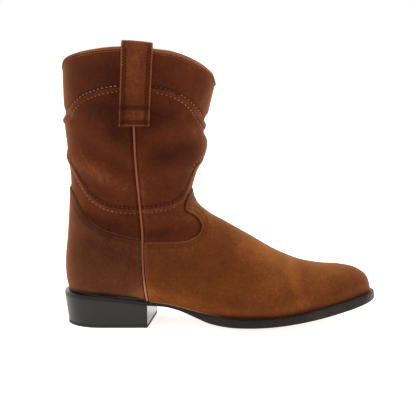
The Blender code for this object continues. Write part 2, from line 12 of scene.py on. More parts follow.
import bpy
import numpy as np
from bpy.props import FloatProperty, FloatVectorProperty, PointerProperty
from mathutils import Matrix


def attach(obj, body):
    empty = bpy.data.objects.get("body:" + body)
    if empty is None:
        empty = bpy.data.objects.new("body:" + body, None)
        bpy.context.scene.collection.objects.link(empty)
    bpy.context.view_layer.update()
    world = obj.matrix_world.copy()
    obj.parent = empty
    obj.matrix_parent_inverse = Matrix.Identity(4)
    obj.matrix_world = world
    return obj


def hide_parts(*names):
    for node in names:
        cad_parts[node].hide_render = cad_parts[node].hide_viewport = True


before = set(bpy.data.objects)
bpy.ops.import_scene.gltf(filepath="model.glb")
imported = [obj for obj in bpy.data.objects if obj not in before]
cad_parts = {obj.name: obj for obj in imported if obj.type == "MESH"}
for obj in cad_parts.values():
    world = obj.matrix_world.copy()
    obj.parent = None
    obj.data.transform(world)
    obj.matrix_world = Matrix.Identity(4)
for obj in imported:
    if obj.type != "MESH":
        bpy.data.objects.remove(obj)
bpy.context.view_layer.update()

bl_info = {
    "name": "Western Boot",
    "version": (1, 0, 0),
    "blender": (4, 5, 0),
    "location": "3D View > Sidebar > Boot",
    "description": "Suede skin, panels, trim, threads and sole of a western boot over its packed solids",
    "category": "Add Mesh",
}

MM = 0.001
ROOT = "root"

# Driving sizes; those that the solids have too are the same there
SOLE_LENGTH = 300.0
BALL_WIDTH = 93.0
CLEARANCE = 0.3
WALL = 2.0
HEEL_ROUND, TOE_ROUND = 34.0, 26.0
SEAT_BACK, SOLE_TIP = -SOLE_LENGTH / 2, SOLE_LENGTH / 2
HEEL_BREAST_X, HEEL_BREAST_SLANT = -65.6, 0.11
HEEL_BACK_TAPER, HEEL_SIDE_TAPER = 3.4, 1.6
HEEL_INSET, HEEL_BITE, BREAST_HALF = 0.4, 0.1, 30.0
TOP_LIFT = 2.6
SOLE_FLAT_SHARE = 0.62
TOE_LEAN, TOE_LEAN_REACH = 1.0, 34.0
PIPING_RADIUS, CORD_RADIUS, CORD_LIFT, SEAM_EASE = 1.5, 1.0, 0.7, 0.1
SEAM_HALF_GAP = PIPING_RADIUS + CLEARANCE + SEAM_EASE
BINDING, BINDING_DEPTH, BINDING_SLACK = 0.9, 3.4, 0.7
BINDING_FACE, STITCH_DROP, BINDING_ROW_DEPTH, BINDING_ROW_SINK = 0.7, -2.0, 0.35, 0.3
BINDING_RISE, BINDING_ROUND, BINDING_ROW_HALF = 0.95, 0.5, 0.6
BINDING_THINNEST, BINDING_THIN_HALF, BINDING_THIN_FADE = 0.15, 4.0, 18.0
STRAP_WIDTH, STRAP_THICK = 28.0, 1.8
STRAP_FOOT_Z, STRAP_TAIL_Z, STRAP_RISE = 191.6, 214.0, 3.4
STRAP_FOOT_X, STRAP_LEAN, STRAP_NARROWING, STRAP_FOOT_SHIFT = -78.5, 0.045, 0.035, 0.4
STRAP_NEAR_COLLAR, STRAP_NEAR_BINDING = 14.0, 2.0
INNER_SEAM_BACK, INNER_SEAM_LEAVES_Z = 6.0, 92.0
CORD_FOOT, CORD_END = 0.6, 1.5
HEEL_SOFT, LIFT_SOFT, STRAP_SOFT = 0.5, 0.4, 0.35

# How squarely a face has to look along an axis to take the finish of that side
FACING, SHINING_UP = 0.8, 0.4

# Sewing: distances of rows from an edge, slant of the strap's threads, how a thread lies, its thickness as
# a share of the shaft's thread, and how far rows stay clear of other pieces
PANEL_ROWS, STRAP_ROWS, STRAP_BARS = (2.2, 4.8), (2.2, 4.5), (2.6, 4.9, 16.0, 18.3)
STRAP_SLANT, STRAP_BAR_MARGIN, STRAP_SINK = 38.0, 4, 0.25
THREAD_RISE, PANEL_THREAD_RISE, THREAD_SINK, THREAD_BLUNT = 0.25, 0.1, 0.25, 1.06
PANEL_THREAD, STRAP_THREAD, STRAP_BAR_THREAD = 0.8, 1.4, 1.6
CLEAR_OF_EDGE, CLEAR_OF_TRIM, CLEAR_OF_SEAM, OUTLINE_MARGIN = 0.8, 0.5, 1.0, 0.02

# Fineness of the meshes: rows and columns, or points along or around
LINE_SAMPLES, LINE_STEPS, PLAN_SAMPLES = 1600, 90, 900
UPPER_GRID, LINING_GRID, COLLAR_GRID = (170, 104), (70, 60), (60, 130)
VAMP_GRID, COUNTER_GRID, SEAM_STEPS, FEATHER_STEPS = (270, 64), (150, 64), 80, 500
SOLE_AROUND, HEEL_AROUND, HEEL_SAMPLES, HEEL_LEVELS = 300, 220, 160, 5
STRAP_STEPS, STRAP_LEG_STEPS, STRAP_ARCH_STEPS, STRAP_TAIL_STEPS = 57, 60, 19, 22
CORD_STEPS, CORD_AROUND, RIM_STEPS, THREAD_STEPS, THREAD_AROUND = 150, 14, 11, 6, 6

# Relief of the suede: stitch rows, the tuck at the waist, and the crevice under the edge of the vamp's lobe
SEAM_ROW_REACH, PANEL_ROW_REACH, PANEL_ROW_DEPTH = 0.9, 0.6, 0.25
STRAP_ROW_REACH, STRAP_ROW_DEPTH = 0.7, 0.3
TUCK_RATE, TUCK_LEAST = 0.6, 0.25
LOBE_FOOT_Z, LOBE_FADE, LOBE_TO_FRONT = 84.0, 10.0, 8.0
CREVICE, CREVICE_REACH = 0.9, 1.8
UPPER_THICK, PANEL_THICK, LINING_THICK = 1.0, 0.9, 0.6
LINING_SLACK, LINING_SLACK_Z, LINING_SLACK_FADE = 0.9, 150.0, 30.0

# Share of the sole's length, width as a share of the ball, sideways middle of the sole, sideways place of
# the ridge above it, height of the sole's top, thickness of its edge, drop of its middle below the edge,
# and how far the welt stands out from the upper.
Station = namedtuple("Station", "name along width centre_y ridge_y top_z edge crown welt")
SOLE_STATIONS = (
    Station("heel back", 0.000, 0.710, 0.0, 0.0, 31.6, 4.4, 0.0, 1.6),
    Station("heel seat", 0.060, 0.716, 0.0, 0.0, 31.4, 4.4, 0.0, 1.6),
    Station("heel middle", 0.140, 0.724, 0.0, 0.0, 30.2, 4.4, 0.0, 1.4),
    Station("heel breast", 0.270, 0.716, -0.6, 0.0, 25.4, 3.8, 0.0, 0.9),
    Station("waist back", 0.335, 0.700, -1.4, 0.0, 22.9, 3.0, 0.6, 0.5),
    Station("waist", 0.380, 0.692, -2.0, 0.1, 19.6, 3.8, 1.4, 0.5),
    Station("waist front", 0.420, 0.716, -2.7, 0.3, 16.6, 5.7, 2.0, 1.2),
    Station("shank end", 0.460, 0.776, -3.2, 0.6, 14.2, 7.9, 3.0, 2.4),
    Station("ball back", 0.520, 0.896, -3.0, 1.4, 11.8, 8.3, 3.7, 3.6),
    Station("ball", 0.600, 1.000, -1.8, 2.6, 10.8, 7.6, 3.8, 4.0),
    Station("ball front", 0.670, 0.998, -0.2, 3.2, 11.6, 7.6, 3.7, 4.0),
    Station("toe root", 0.740, 0.936, 1.4, 3.4, 14.0, 8.2, 2.4, 4.0),
    Station("toe box", 0.815, 0.806, 2.3, 3.2, 18.1, 9.2, 0.9, 4.0),
    Station("toe front", 0.885, 0.646, 2.6, 3.0, 22.5, 9.5, 0.6, 4.0),
    Station("toe end", 0.945, 0.520, 2.6, 2.7, 26.8, 9.5, 0.5, 4.0),
    Station("toe tip", 1.000, 0.470, 2.5, 2.5, 30.4, 8.2, 0.4, 4.0),
)

# Side lines of the upper
SidePoint = namedtuple("SidePoint", "name x z")
FRONT_LINE = (
    SidePoint("toe feather", 144.0, 29.5),
    SidePoint("nose", 143.2, 35.6),
    SidePoint("nose top", 140.4, 43.0),
    SidePoint("toe top", 131.6, 49.6),
    SidePoint("toe crown", 114.8, 53.5),
    SidePoint("toe dip", 96.8, 54.5),
    SidePoint("vamp low", 78.4, 57.6),
    SidePoint("vamp", 55.2, 66.7),
    SidePoint("vamp high", 26.2, 83.4),
    SidePoint("instep", 3.3, 96.5),
    SidePoint("throat", -11.8, 105.0),
    SidePoint("throat bend", -23.4, 116.0),
    SidePoint("ankle front", -26.9, 127.0),
    SidePoint("ankle rise", -24.6, 137.0),
    SidePoint("slouch", -22.2, 146.6),
    SidePoint("slouch top", -18.3, 153.2),
    SidePoint("shin low", -15.2, 159.6),
    SidePoint("shin", -13.9, 172.0),
    SidePoint("shin high", -12.0, 197.0),
    SidePoint("collar front", -7.9, 216.0),
    SidePoint("collar dip", -4.5, 229.5),
)
BACK_LINE = (
    SidePoint("heel feather", -144.0, 31.9),
    SidePoint("heel swell", -146.6, 44.0),
    SidePoint("heel", -147.2, 60.0),
    SidePoint("heel top", -144.8, 86.0),
    SidePoint("tendon", -143.0, 112.0),
    SidePoint("ankle back", -142.2, 132.0),
    SidePoint("calf low", -142.8, 150.0),
    SidePoint("calf bend", -144.2, 164.0),
    SidePoint("calf", -146.6, 182.0),
    SidePoint("calf high", -148.0, 212.0),
    SidePoint("collar back", -148.7, 244.5),
)
COLLAR_LINE = (
    SidePoint("back dip", -148.7, 244.5),
    SidePoint("back corner", -146.9, 249.0),
    SidePoint("back turn", -142.4, 252.8),
    SidePoint("back rise", -135.0, 255.8),
    SidePoint("back shoulder", -120.0, 259.2),
    SidePoint("back crown", -91.0, 262.2),
    SidePoint("front crown", -64.0, 260.0),
    SidePoint("front shoulder", -45.0, 257.2),
    SidePoint("front rise", -28.0, 251.2),
    SidePoint("front corner", -13.0, 242.2),
    SidePoint("front turn", -7.2, 236.6),
    SidePoint("front dip", -4.5, 229.5),
)
SEAM_LINE = (
    SidePoint("sole", -68.4, 25.0),
    SidePoint("sole turn", -70.6, 38.0),
    SidePoint("heel side", -72.2, 54.0),
    SidePoint("ankle", -73.0, 96.0),
    SidePoint("shaft low", -75.4, 124.0),
    SidePoint("shaft", -78.0, 158.0),
    SidePoint("strap", -79.2, 196.0),
)
VAMP_LINE = (
    SidePoint("seam", -73.0, 82.6),
    SidePoint("side", -52.0, 82.6),
    SidePoint("lobe foot", -38.0, 83.0),
    SidePoint("lobe low", -27.0, 84.6),
    SidePoint("lobe turn", -20.4, 88.0),
    SidePoint("lobe nose", -17.5, 95.0),
    SidePoint("lobe top", -20.7, 102.4),
    SidePoint("lobe back", -26.5, 107.6),
    SidePoint("corner", -32.8, 112.6),
    SidePoint("tongue", -32.0, 118.1),
    SidePoint("tongue rise", -29.3, 125.1),
    SidePoint("tongue top", -25.0, 132.0),
)
COUNTER_LINE = (
    SidePoint("seam", -73.0, 85.0),
    SidePoint("side", -94.0, 90.2),
    SidePoint("sweep", -113.0, 96.4),
    SidePoint("rise", -127.0, 107.4),
    SidePoint("back", -137.0, 125.0),
    SidePoint("top", -146.0, 137.0),
)

# First stitch row of the yoke seam and of the oval seam over the ankle, each carried to the outline
YOKE_LINE = (
    SidePoint("back", -150.0, 195.0),
    SidePoint("back turn", -144.2, 202.8),
    SidePoint("back rise", -137.8, 209.7),
    SidePoint("back bend", -129.0, 217.4),
    SidePoint("back shoulder", -115.0, 223.6),
    SidePoint("back crown", -92.2, 228.0),
    SidePoint("front crown", -62.0, 227.2),
    SidePoint("front shoulder", -42.5, 222.4),
    SidePoint("front bend", -27.9, 213.2),
    SidePoint("front fall", -19.9, 203.9),
    SidePoint("front", -9.0, 187.0),
)
OVAL_LINE = (
    SidePoint("back", -146.4, 170.0),
    SidePoint("back fall", -139.0, 157.1),
    SidePoint("back bend", -128.0, 138.7),
    SidePoint("back corner", -119.0, 126.6),
    SidePoint("back foot", -108.0, 119.4),
    SidePoint("foot", -84.0, 115.4),
    SidePoint("front foot", -56.0, 117.4),
    SidePoint("front corner", -46.0, 119.2),
    SidePoint("front bend", -39.2, 122.8),
    SidePoint("front turn", -34.4, 128.3),
    SidePoint("front rise", -31.4, 135.0),
    SidePoint("front climb", -26.9, 145.6),
    SidePoint("front kink", -22.8, 153.6),
    SidePoint("front", -18.0, 157.6),
    SidePoint("front end", -8.0, 160.4),
)

# Painted shade of the crevice where the upper meets the welt, with some stain of the sole's edge dressing
# Along the feather: how dark the nap is there, how high its dark band stands, and how far up it fades
SoleShadePoint = namedtuple("SoleShadePoint", "name x depth band reach")
SOLE_SHADE_LINE = (
    SoleShadePoint("heel back", -150.0, 1.0, 1.8, 2.2),
    SoleShadePoint("heel", -122.0, 1.0, 1.5, 2.3),
    SoleShadePoint("heel side", -106.0, 1.0, 1.2, 2.2),
    SoleShadePoint("heel front", -88.0, 1.0, 2.25, 1.1),
    SoleShadePoint("breast", -74.0, 0.9, 2.1, 0.5),
    SoleShadePoint("breast front", -64.0, 0.3, 0.4, 1.0),
    SoleShadePoint("waist", -54.0, 0.15, 0.0, 1.2),
    SoleShadePoint("waist front", -12.0, 0.15, 0.0, 1.2),
    SoleShadePoint("shank end", 4.0, 0.7, 0.0, 3.0),
    SoleShadePoint("ball", 26.0, 0.9, 0.0, 3.7),
    SoleShadePoint("ball front", 58.0, 0.75, 0.0, 3.4),
    SoleShadePoint("toe root", 94.0, 0.5, 0.0, 4.4),
    SoleShadePoint("toe", 144.0, 0.5, 0.0, 3.6),
)

# Thread rows of the shaft's seams: the line each follows, the bands it lies from that line, its thread, and
# the stretch along the boot that it is sewn over
SeamRow = namedtuple("SeamRow", "name line bands thread from_x to_x")
SEAM_ROWS = (
    SeamRow("yoke back", "yoke", 0.0, "pale", -160.0, -78.0),
    SeamRow("yoke middle", "yoke", 0.0, "plum", -78.0, -40.0),
    SeamRow("yoke front", "yoke", 0.0, "pale", -40.0, 10.0),
    SeamRow("under yoke back", "yoke", 1.0, "pale", -160.0, -132.0),
    SeamRow("under yoke", "yoke", 1.0, "dull", -132.0, -44.0),
    SeamRow("under yoke front", "yoke", 1.0, "pale", -44.0, 10.0),
    SeamRow("oval", "oval", 0.0, "plum", -160.0, -27.0),
    SeamRow("oval front", "oval", 0.0, "pale", -27.0, 10.0),
    SeamRow("under oval back", "oval", 1.0, "pale", -160.0, -98.0),
    SeamRow("under oval", "oval", 1.0, "dull", -98.0, 10.0),
)

# Soft bands and slopes: where each lies, how far it fades or rises, and how much it adds. A slope with a
# negative reach rises the other way.
Band = namedtuple("Band", "name at reach amount")
PIPING_VALLEY = (
    Band("valley", 0.0, 2.4, -0.8),
    Band("lip", 4.2, 1.8, 0.35),
)
# Painted shade behind the piping on the upper, and a painted highlight on the edge ahead of it
PIPING_SHADE_AND_HIGHLIGHT = (
    Band("behind", -0.9, 2.2, -0.26),
    Band("ahead", 3.4, 1.2, 0.14),
)
FULL_PANELS = (
    Band("heel", -76.0, -6.0, 1.0),
    Band("ball", -8.0, 12.0, 1.0),
)
# Paler sole edge towards the toe and the heel; at the slanted toe tip it is partly a painted highlight
SOLE_SLOPES = (
    Band("toe", 64.0, 26.0, 0.26),
    Band("toe tip", 138.0, 8.0, 0.4),
    Band("heel", -62.0, -8.0, 0.12),
)
# Painted highlight on the top of the welt round the back of the seat
SEAT_HIGHLIGHT = (
    Band("seat back", -138.0, -8.0, 0.75),
)
SOLE_SPOTS = (
    Band("waist", -8.0, 14.0, 0.2),
    Band("ball", 30.0, 22.0, -0.10),
)
CORD_SLOPES = (
    Band("foot", 60.0, -26.0, 0.5),
)
CORD_SPOTS = (
    Band("ankle", 143.0, 12.0, 0.24),
)
STRAP_ACROSS = (
    Band("cut edge", 0.0, 0.9, 0.40),
    Band("stitch rows", 3.3, 1.7, -0.16),
    Band("middle", 14.0, 5.0, 0.06),
)
STRAP_UP = (
    Band("foot edge", 0.0, 0.9, 0.3),
    Band("low bars", 3.8, 1.9, -0.22),
    Band("high bars", 17.2, 1.9, -0.22),
)
STRAP_SLOPES = (
    Band("top", 194.0, 50.0, 0.16),
)

# Half-width of the shaft at each height
Girth = namedtuple("Girth", "name z half_width")
SHAFT_GIRTHS = (
    Girth("instep", 84.0, 37.0),
    Girth("ankle", 124.0, 38.6),
    Girth("calf low", 160.0, 42.4),
    Girth("calf", 200.0, 45.2),
    Girth("collar", 262.0, 46.4),
)

# Slack folds of the shaft and fine creases: a soft ridge or trough along a line between two side points
Fold = namedtuple("Fold", "name x0 z0 x1 z1 half_width height")
FOLDS = (
    Fold("front crease high", -6.0, 193.0, -30.0, 199.0, 4.4, -2.6),
    Fold("front crease low", -6.0, 182.5, -20.0, 183.6, 5.0, -2.4),
    Fold("front bulge", -6.0, 170.0, -44.0, 175.0, 8.0, 1.8),
    Fold("front trough", -31.0, 157.5, -60.0, 163.0, 7.0, -2.6),
    Fold("back crease", -151.0, 202.5, -142.0, 201.0, 4.0, -1.6),
    Fold("back swell", -150.0, 194.5, -140.0, 192.5, 3.6, 1.0),
    Fold("back ridge", -140.0, 160.5, -92.0, 133.0, 8.0, 2.2),
    Fold("back trough", -122.0, 172.0, -84.0, 148.0, 9.0, -1.6),
    Fold("ankle tuck", -66.0, 91.0, -34.0, 95.0, 8.0, -2.2),
    Fold("heel tuck", -122.0, 108.0, -82.0, 95.0, 8.0, -1.4),
)

# How the upper's rows are shared out: part of the rows that lie in the foot and how far up the back they
# reach, where the throat comes on the back and front lines, and where rows stop sagging and start to crown
FOOT_ROWS, FOOT_REACH, THROAT_UP, THROAT_ALONG, SAG_END, CROWN_START = 0.2, 0.34, 0.36, 0.62, 0.40, 0.55

# Where the shape turns from foot into shaft
FOOT_TOP_Z, SHAFT_FOOT_Z = 42.0, 116.0
ARCH_TOP_Z, UPRIGHT_Z = 84.0, 132.0
ARCH_SHARE = 0.92
ARCH_LEAST = 4.0
HEEL_CURVE = 31.0
TOE_FULLNESS, INSTEP_FULLNESS, SHAFT_FULLNESS = 2.25, 1.80, 2.15
WALL_SWELL, WALL_SWELL_HEIGHT = 2.2, 9.0
NOSE_LEAD = 0.5
UNDER_SHAFT_SLOPE = 8.0

# Tone of the nap: painted shade and highlight at seams, folds, edges and over the sole, and each piece's own
# tone
SeamShade = namedtuple("SeamShade", "line dark reach")
SEAM_SHADES = (SeamShade("yoke", 0.26, 1.5), SeamShade("oval", 0.36, 2.0))
# Painted highlight on puffed bands and fold ridges, painted shade in fold troughs, and depth of the painted
# shade over the sole
PUFF_LIGHT, FOLD_LIGHT, SOLE_SHADE_DEPTH = 0.16, 0.03, 1.1
CREVICE_SHADE, CREVICE_SHADE_REACH = 0.5, 1.6
# Painted shade behind the piping on the panels, lighter at its foot, and a painted highlight ahead of it
SEAM_DARK, SEAM_DARK_REACH, SEAM_DARK_Z, SEAM_DARK_RISE, SEAM_FOOT_LIGHT = 0.30, 1.2, 42.0, 18.0, 0.10
SEAM_HIGHLIGHT = Band("ahead of the piping", 1.6, 1.0, 0.10)
# Painted highlight on the vamp's rolled cut edge, and painted shade on the counter's
CUT_EDGE_REACH, VAMP_EDGE_HIGHLIGHT, COUNTER_EDGE_SHADE = 0.9, 0.2, -0.14
PANEL_ROW_SHADE, PANEL_ROW_SHADE_REACH = 0.10, 0.8
COUNTER_TONE, CORD_TONE, STRAP_TONE, BINDING_TONE = -0.1, -0.08, -0.07, -0.10
# Painted highlight on the binding's face above its stitch row and on its rim
BINDING_FACE_HIGHLIGHT, BINDING_RIM_HIGHLIGHT, BINDING_RIM_UP = 0.22, 0.06, 0.3
STAIN_MARGIN = 0.4

# Patches painted lighter (+) or darker (-), with their reach along and across a turn
# They hold painted shade in hollows, between folds and under and beside the strap, painted highlight on fold
# ridges, and pale or dark nap
Patch = namedtuple("Patch", "name x z along across turn_deg strength")
DARKEST_PATCH = 0.6
PATCHES = (
    Patch("yoke back", -108.0, 240.0, 30.0, 14.0, 0.0, -0.30),
    Patch("yoke front", -52.0, 240.0, 20.0, 14.0, -20.0, -0.16),
    Patch("yoke front low", -56.0, 224.0, 20.0, 8.0, 0.0, -0.17),
    Patch("yoke end", -18.0, 232.0, 12.0, 10.0, -30.0, -0.14),
    Patch("under yoke back", -112.0, 208.0, 18.0, 11.0, 0.0, -0.32),
    Patch("beside strap", -97.0, 222.0, 7.0, 34.0, 0.0, -0.24),
    Patch("before strap", -62.0, 206.0, 6.0, 16.0, 0.0, -0.14),
    Patch("back of yoke", -135.0, 228.0, 14.0, 12.0, 0.0, -0.12),
    Patch("back of shaft", -128.0, 184.0, 10.0, 10.0, 0.0, -0.10),
    Patch("shin", -36.0, 206.0, 12.0, 10.0, -20.0, -0.12),
    Patch("under yoke front", -57.0, 200.0, 17.0, 12.0, 0.0, -0.40),
    Patch("under strap", -87.0, 186.0, 23.0, 14.0, 0.0, -0.52),
    Patch("back light", -110.0, 177.0, 22.0, 8.0, -35.0, 0.08),
    Patch("front hollow", -35.0, 168.0, 28.0, 10.0, 6.0, -0.48),
    Patch("middle hollow", -62.0, 158.0, 8.0, 14.0, 0.0, -0.14),
    Patch("front middle", -48.0, 138.0, 18.0, 24.0, 0.0, -0.12),
    Patch("back ridge", -117.0, 150.0, 20.0, 5.0, -28.0, 0.10),
    Patch("ridge top", -100.0, 158.0, 20.0, 7.0, -28.0, -0.16),
    Patch("ridge foot", -113.0, 133.0, 16.0, 6.0, -38.0, -0.16),
    Patch("ridge end", -94.0, 129.0, 14.0, 12.0, 0.0, -0.16),
    Patch("under oval", -116.0, 111.0, 16.0, 6.0, -25.0, 0.05),
    Patch("oval foot", -84.0, 107.0, 14.0, 8.0, 0.0, -0.22),
    Patch("over counter", -106.0, 99.0, 32.0, 8.0, -14.0, -0.26),
    Patch("lobe", -48.0, 106.0, 14.0, 6.0, 0.0, 0.01),
    Patch("lobe foot", -40.0, 91.0, 26.0, 7.0, 2.0, -0.22),
    Patch("throat", -27.0, 122.0, 6.0, 10.0, 20.0, -0.04),
    Patch("lobe front", -14.0, 104.0, 8.0, 10.0, 0.0, 0.08),
    Patch("instep bloom", 40.0, 70.0, 50.0, 9.0, -31.0, 0.28),
    Patch("toe bloom", 98.0, 55.0, 32.0, 9.0, -8.0, 0.25),
    Patch("side dark", 5.0, 55.0, 16.0, 18.0, 0.0, -0.10),
    Patch("flex pale", 46.0, 50.0, 10.0, 18.0, 20.0, 0.09),
    Patch("flex light", 64.0, 48.0, 6.0, 12.0, 20.0, 0.05),
    Patch("flex dark", 80.0, 50.0, 6.0, 12.0, 14.0, -0.16),
    Patch("toe dark", 109.0, 32.0, 19.0, 5.0, 20.0, -0.18),
    Patch("ball dark", 16.0, 27.0, 19.0, 6.0, -8.0, -0.13),
    Patch("ball front dark", 62.0, 30.0, 16.0, 6.0, 6.0, -0.08),
    Patch("front inner", -34.0, 142.0, 4.0, 12.0, -20.0, -0.14),
    Patch("front ridge", -27.0, 138.0, 13.0, 3.5, 62.0, 0.18),
    Patch("counter peak", -142.0, 108.0, 8.0, 18.0, 0.0, 0.08),
    Patch("nap pale", 19.0, 70.0, 9.0, 6.0, -40.0, 0.13),
    Patch("nap pale high", 43.0, 71.0, 10.0, 6.0, -30.0, 0.08),
    Patch("nap spot", 66.0, 58.0, 5.0, 5.0, 0.0, 0.14),
    Patch("nap dark", 10.0, 84.0, 11.0, 7.0, -30.0, -0.16),
    Patch("nap dark high", 56.0, 57.0, 7.0, 8.0, 0.0, -0.10),
    Patch("flex stripe", 69.5, 43.0, 4.0, 9.0, 12.0, 0.12),
    Patch("flex blot", 77.0, 26.0, 8.0, 4.0, 12.0, 0.14),
    Patch("flex fold", 65.0, 34.0, 7.0, 3.0, -40.0, -0.10),
    Patch("waist glow", -36.0, 28.0, 32.0, 6.0, -14.0, 0.15),
    Patch("vamp shade", -44.0, 60.0, 22.0, 20.0, 0.0, -0.16),
    Patch("counter shade", -108.0, 74.0, 28.0, 20.0, 0.0, -0.22),
    Patch("counter front", -84.0, 62.0, 8.0, 14.0, 0.0, -0.14),
    Patch("seam foot", -70.0, 34.0, 14.0, 8.0, 0.0, 0.27),
)

# Studio: the floor's rings in millimetres, the soft light and the camera in metres
FLOOR_REACH, FLOOR_AROUND, FLOOR_GLOW = (0.0, 300.0, 1500.0, 9000.0, 60000.0), 96, 0.76
LAMP_PLACE, LAMP_AIM, LAMP_SIZE, LAMP_WATTS = (0.1, -0.1, 1.7), (0.0, 0.0, 0.1), 1.4, 20.0
CAMERA_PLACE, CAMERA_DOWN_DEG = (-0.0117, -1.05, 0.263), 8.3
FOCAL_PIXELS, PICTURE_PIXELS, SENSOR = 1107.0, 416.0, 36.0


class BootSizes(bpy.types.PropertyGroup):
    """Sizes of the finish that a maker would change."""

    overlay: FloatProperty(
        name="Panel", description="Thickness of the vamp and counter over the upper",
        default=0.0012, min=0.0005, max=0.003, unit="LENGTH", precision=4)
    roll: FloatProperty(
        name="Edge roll", description="Width over which a panel's edge rolls down",
        default=0.0016, min=0.0005, max=0.006, unit="LENGTH", precision=4)
    band: FloatProperty(
        name="Seam band", description="Distance between the two stitch rows of a seam",
        default=0.0052, min=0.002, max=0.01, unit="LENGTH", precision=4)
    band_height: FloatProperty(
        name="Seam puff", description="How far the leather between two stitch rows puffs out",
        default=0.0006, min=0.0, max=0.002, unit="LENGTH", precision=4)
    groove: FloatProperty(
        name="Stitch groove", description="Depth to which a stitch row pulls the leather in",
        default=0.00038, min=0.0, max=0.002, unit="LENGTH", precision=5)
    pale_pitch: FloatProperty(
        name="Pale pitch", description="Step from one pale stitch to the next",
        default=0.0042, min=0.002, max=0.01, unit="LENGTH", precision=4)
    pale_length: FloatProperty(
        name="Pale stitch", description="Length of a pale stitch",
        default=0.0029, min=0.001, max=0.008, unit="LENGTH", precision=4)
    dark_pitch: FloatProperty(
        name="Dark pitch", description="Step from one dark stitch to the next",
        default=0.0029, min=0.002, max=0.01, unit="LENGTH", precision=4)
    dark_length: FloatProperty(
        name="Dark stitch", description="Length of a dark stitch",
        default=0.0022, min=0.001, max=0.008, unit="LENGTH", precision=4)
    thread: FloatProperty(
        name="Thread", description="Radius of the sewing thread",
        default=0.00038, min=0.0001, max=0.002, unit="LENGTH", precision=5)
    nap: FloatProperty(
        name="Nap", description="Depth of the suede's nap",
        default=0.0005, min=0.0, max=0.003, unit="LENGTH", precision=4)


def colour(name, description, default):
    """A colour property with linear red, green and blue."""
    return FloatVectorProperty(
        name=name, description=description, default=default, size=3, min=0.0, max=1.0, subtype="COLOR")


class BootColours(bpy.types.PropertyGroup):
    """Colours of the boot's finishes."""

    # The shadow colours serve nap that lies down and painted shade; the bloom colours serve nap that stands
    # up and painted highlight
    shaft_shadow: colour(
        "Shaft shadow", "Suede of the shaft where the nap lies down", (0.027, 0.0055, 0.0024))
    shaft_body: colour("Shaft", "Suede of the shaft", (0.066, 0.0138, 0.0046))
    shaft_bloom: colour("Shaft bloom", "Suede of the shaft where the nap stands up", (0.17, 0.052, 0.0155))
    foot_shadow: colour("Foot shadow", "Suede of the foot where the nap lies down", (0.040, 0.0092, 0.0028))
    foot_body: colour("Foot", "Suede of the foot", (0.098, 0.0246, 0.0054))
    foot_bloom: colour("Foot bloom", "Suede of the foot where the nap stands up", (0.21, 0.064, 0.0118))
    heel_shadow: colour(
        "Counter shadow", "Suede of the counter where the nap lies down", (0.036, 0.0095, 0.0044))
    heel_body: colour("Counter", "Suede of the counter", (0.086, 0.0250, 0.0094))
    heel_bloom: colour("Counter bloom", "Suede of the counter where the nap stands up", (0.19, 0.070, 0.024))
    rim_shadow: colour(
        "Binding shadow", "Suede of the binding where the nap lies down", (0.046, 0.0120, 0.0046))
    rim_body: colour("Binding", "Suede of the collar binding", (0.115, 0.0335, 0.0125))
    rim_bloom: colour("Binding bloom", "Suede of the binding where the nap stands up", (0.24, 0.084, 0.034))
    raw_edge: colour("Raw edge", "Cut edges of the straps", (0.38, 0.115, 0.045))
    piping: colour("Piping", "Leather of the side piping", (0.182, 0.038, 0.0145))
    pale_thread: colour("Pale thread", "Brightest rows of the shaft's seams", (0.27, 0.138, 0.092))
    dull_thread: colour("Dull thread", "Lower rows of the shaft's seams", (0.20, 0.074, 0.042))
    plum_thread: colour("Plum thread", "Sunken rows of the shaft's seams", (0.105, 0.034, 0.030))
    dark_thread: colour("Dark thread", "Thread of the straps and the collar", (0.022, 0.006, 0.005))
    brown_thread: colour("Brown thread", "Thread of the vamp and the counter", (0.045, 0.011, 0.004))
    edge: colour("Sole edge", "Stained edge of the sole", (0.0078, 0.0049, 0.0043))
    heel: colour("Heel", "Stained side of the heel", (0.0118, 0.0093, 0.0083))
    lift: colour("Top lift", "Rubber of the top lift", (0.010, 0.009, 0.009))
    under: colour("Sole bottom", "Leather under the sole", (0.23, 0.115, 0.055))
    lining: colour("Lining", "Leather inside the shaft", (0.40, 0.25, 0.14))
    floor: colour("Floor", "Pale studio floor", (0.84, 0.84, 0.84))


# Curves
def smooth_step(share):
    """0 below 0, 1 above 1, and an even S between."""
    share = np.clip(share, 0.0, 1.0)
    return share * share * (3.0 - 2.0 * share)


def bell(away, reach):
    """1 at no distance, falling off evenly on both sides to about a third at the reach."""
    return np.exp(-((away / reach) ** 2))


def bells(where, bands):
    """Sum of soft bands, each a bell about its own place."""
    return sum(band.amount * bell(where - band.at, band.reach) for band in bands)


def slopes(where, bands):
    """Sum of soft slopes, each an even S that rises from its own place over its reach."""
    return sum(band.amount * smooth_step((where - band.at) / band.reach) for band in bands)


def fullness(share, power=2.0):
    """Square of a rounded edge's width: 0 at the edge, 1 from share 1 inwards, round at power 2."""
    return 1.0 - (1.0 - np.minimum(share, 1.0)) ** power


def curve_through(knots, values):
    """A cubic curve through a table's values, whose slope at each knot follows its neighbours."""
    knots = np.asarray(knots, float)
    values = np.asarray(values, float)
    slope = np.gradient(values, knots)

    def at(where):
        where = np.clip(where, knots[0], knots[-1])
        i = np.clip(np.searchsorted(knots, where, side="right") - 1, 0, len(knots) - 2)
        step = knots[i + 1] - knots[i]
        f = (where - knots[i]) / step
        start = (1.0 + 2.0 * f) * (1.0 - f) ** 2 * values[i] + f * (1.0 - f) ** 2 * step * slope[i]
        end = f * f * (3.0 - 2.0 * f) * values[i + 1] + f * f * (f - 1.0) * step * slope[i + 1]
        return start + end

    return at


def unit(rows):
    """Rows of vectors made one long."""
    return rows / np.linalg.norm(rows, axis=-1, keepdims=True)


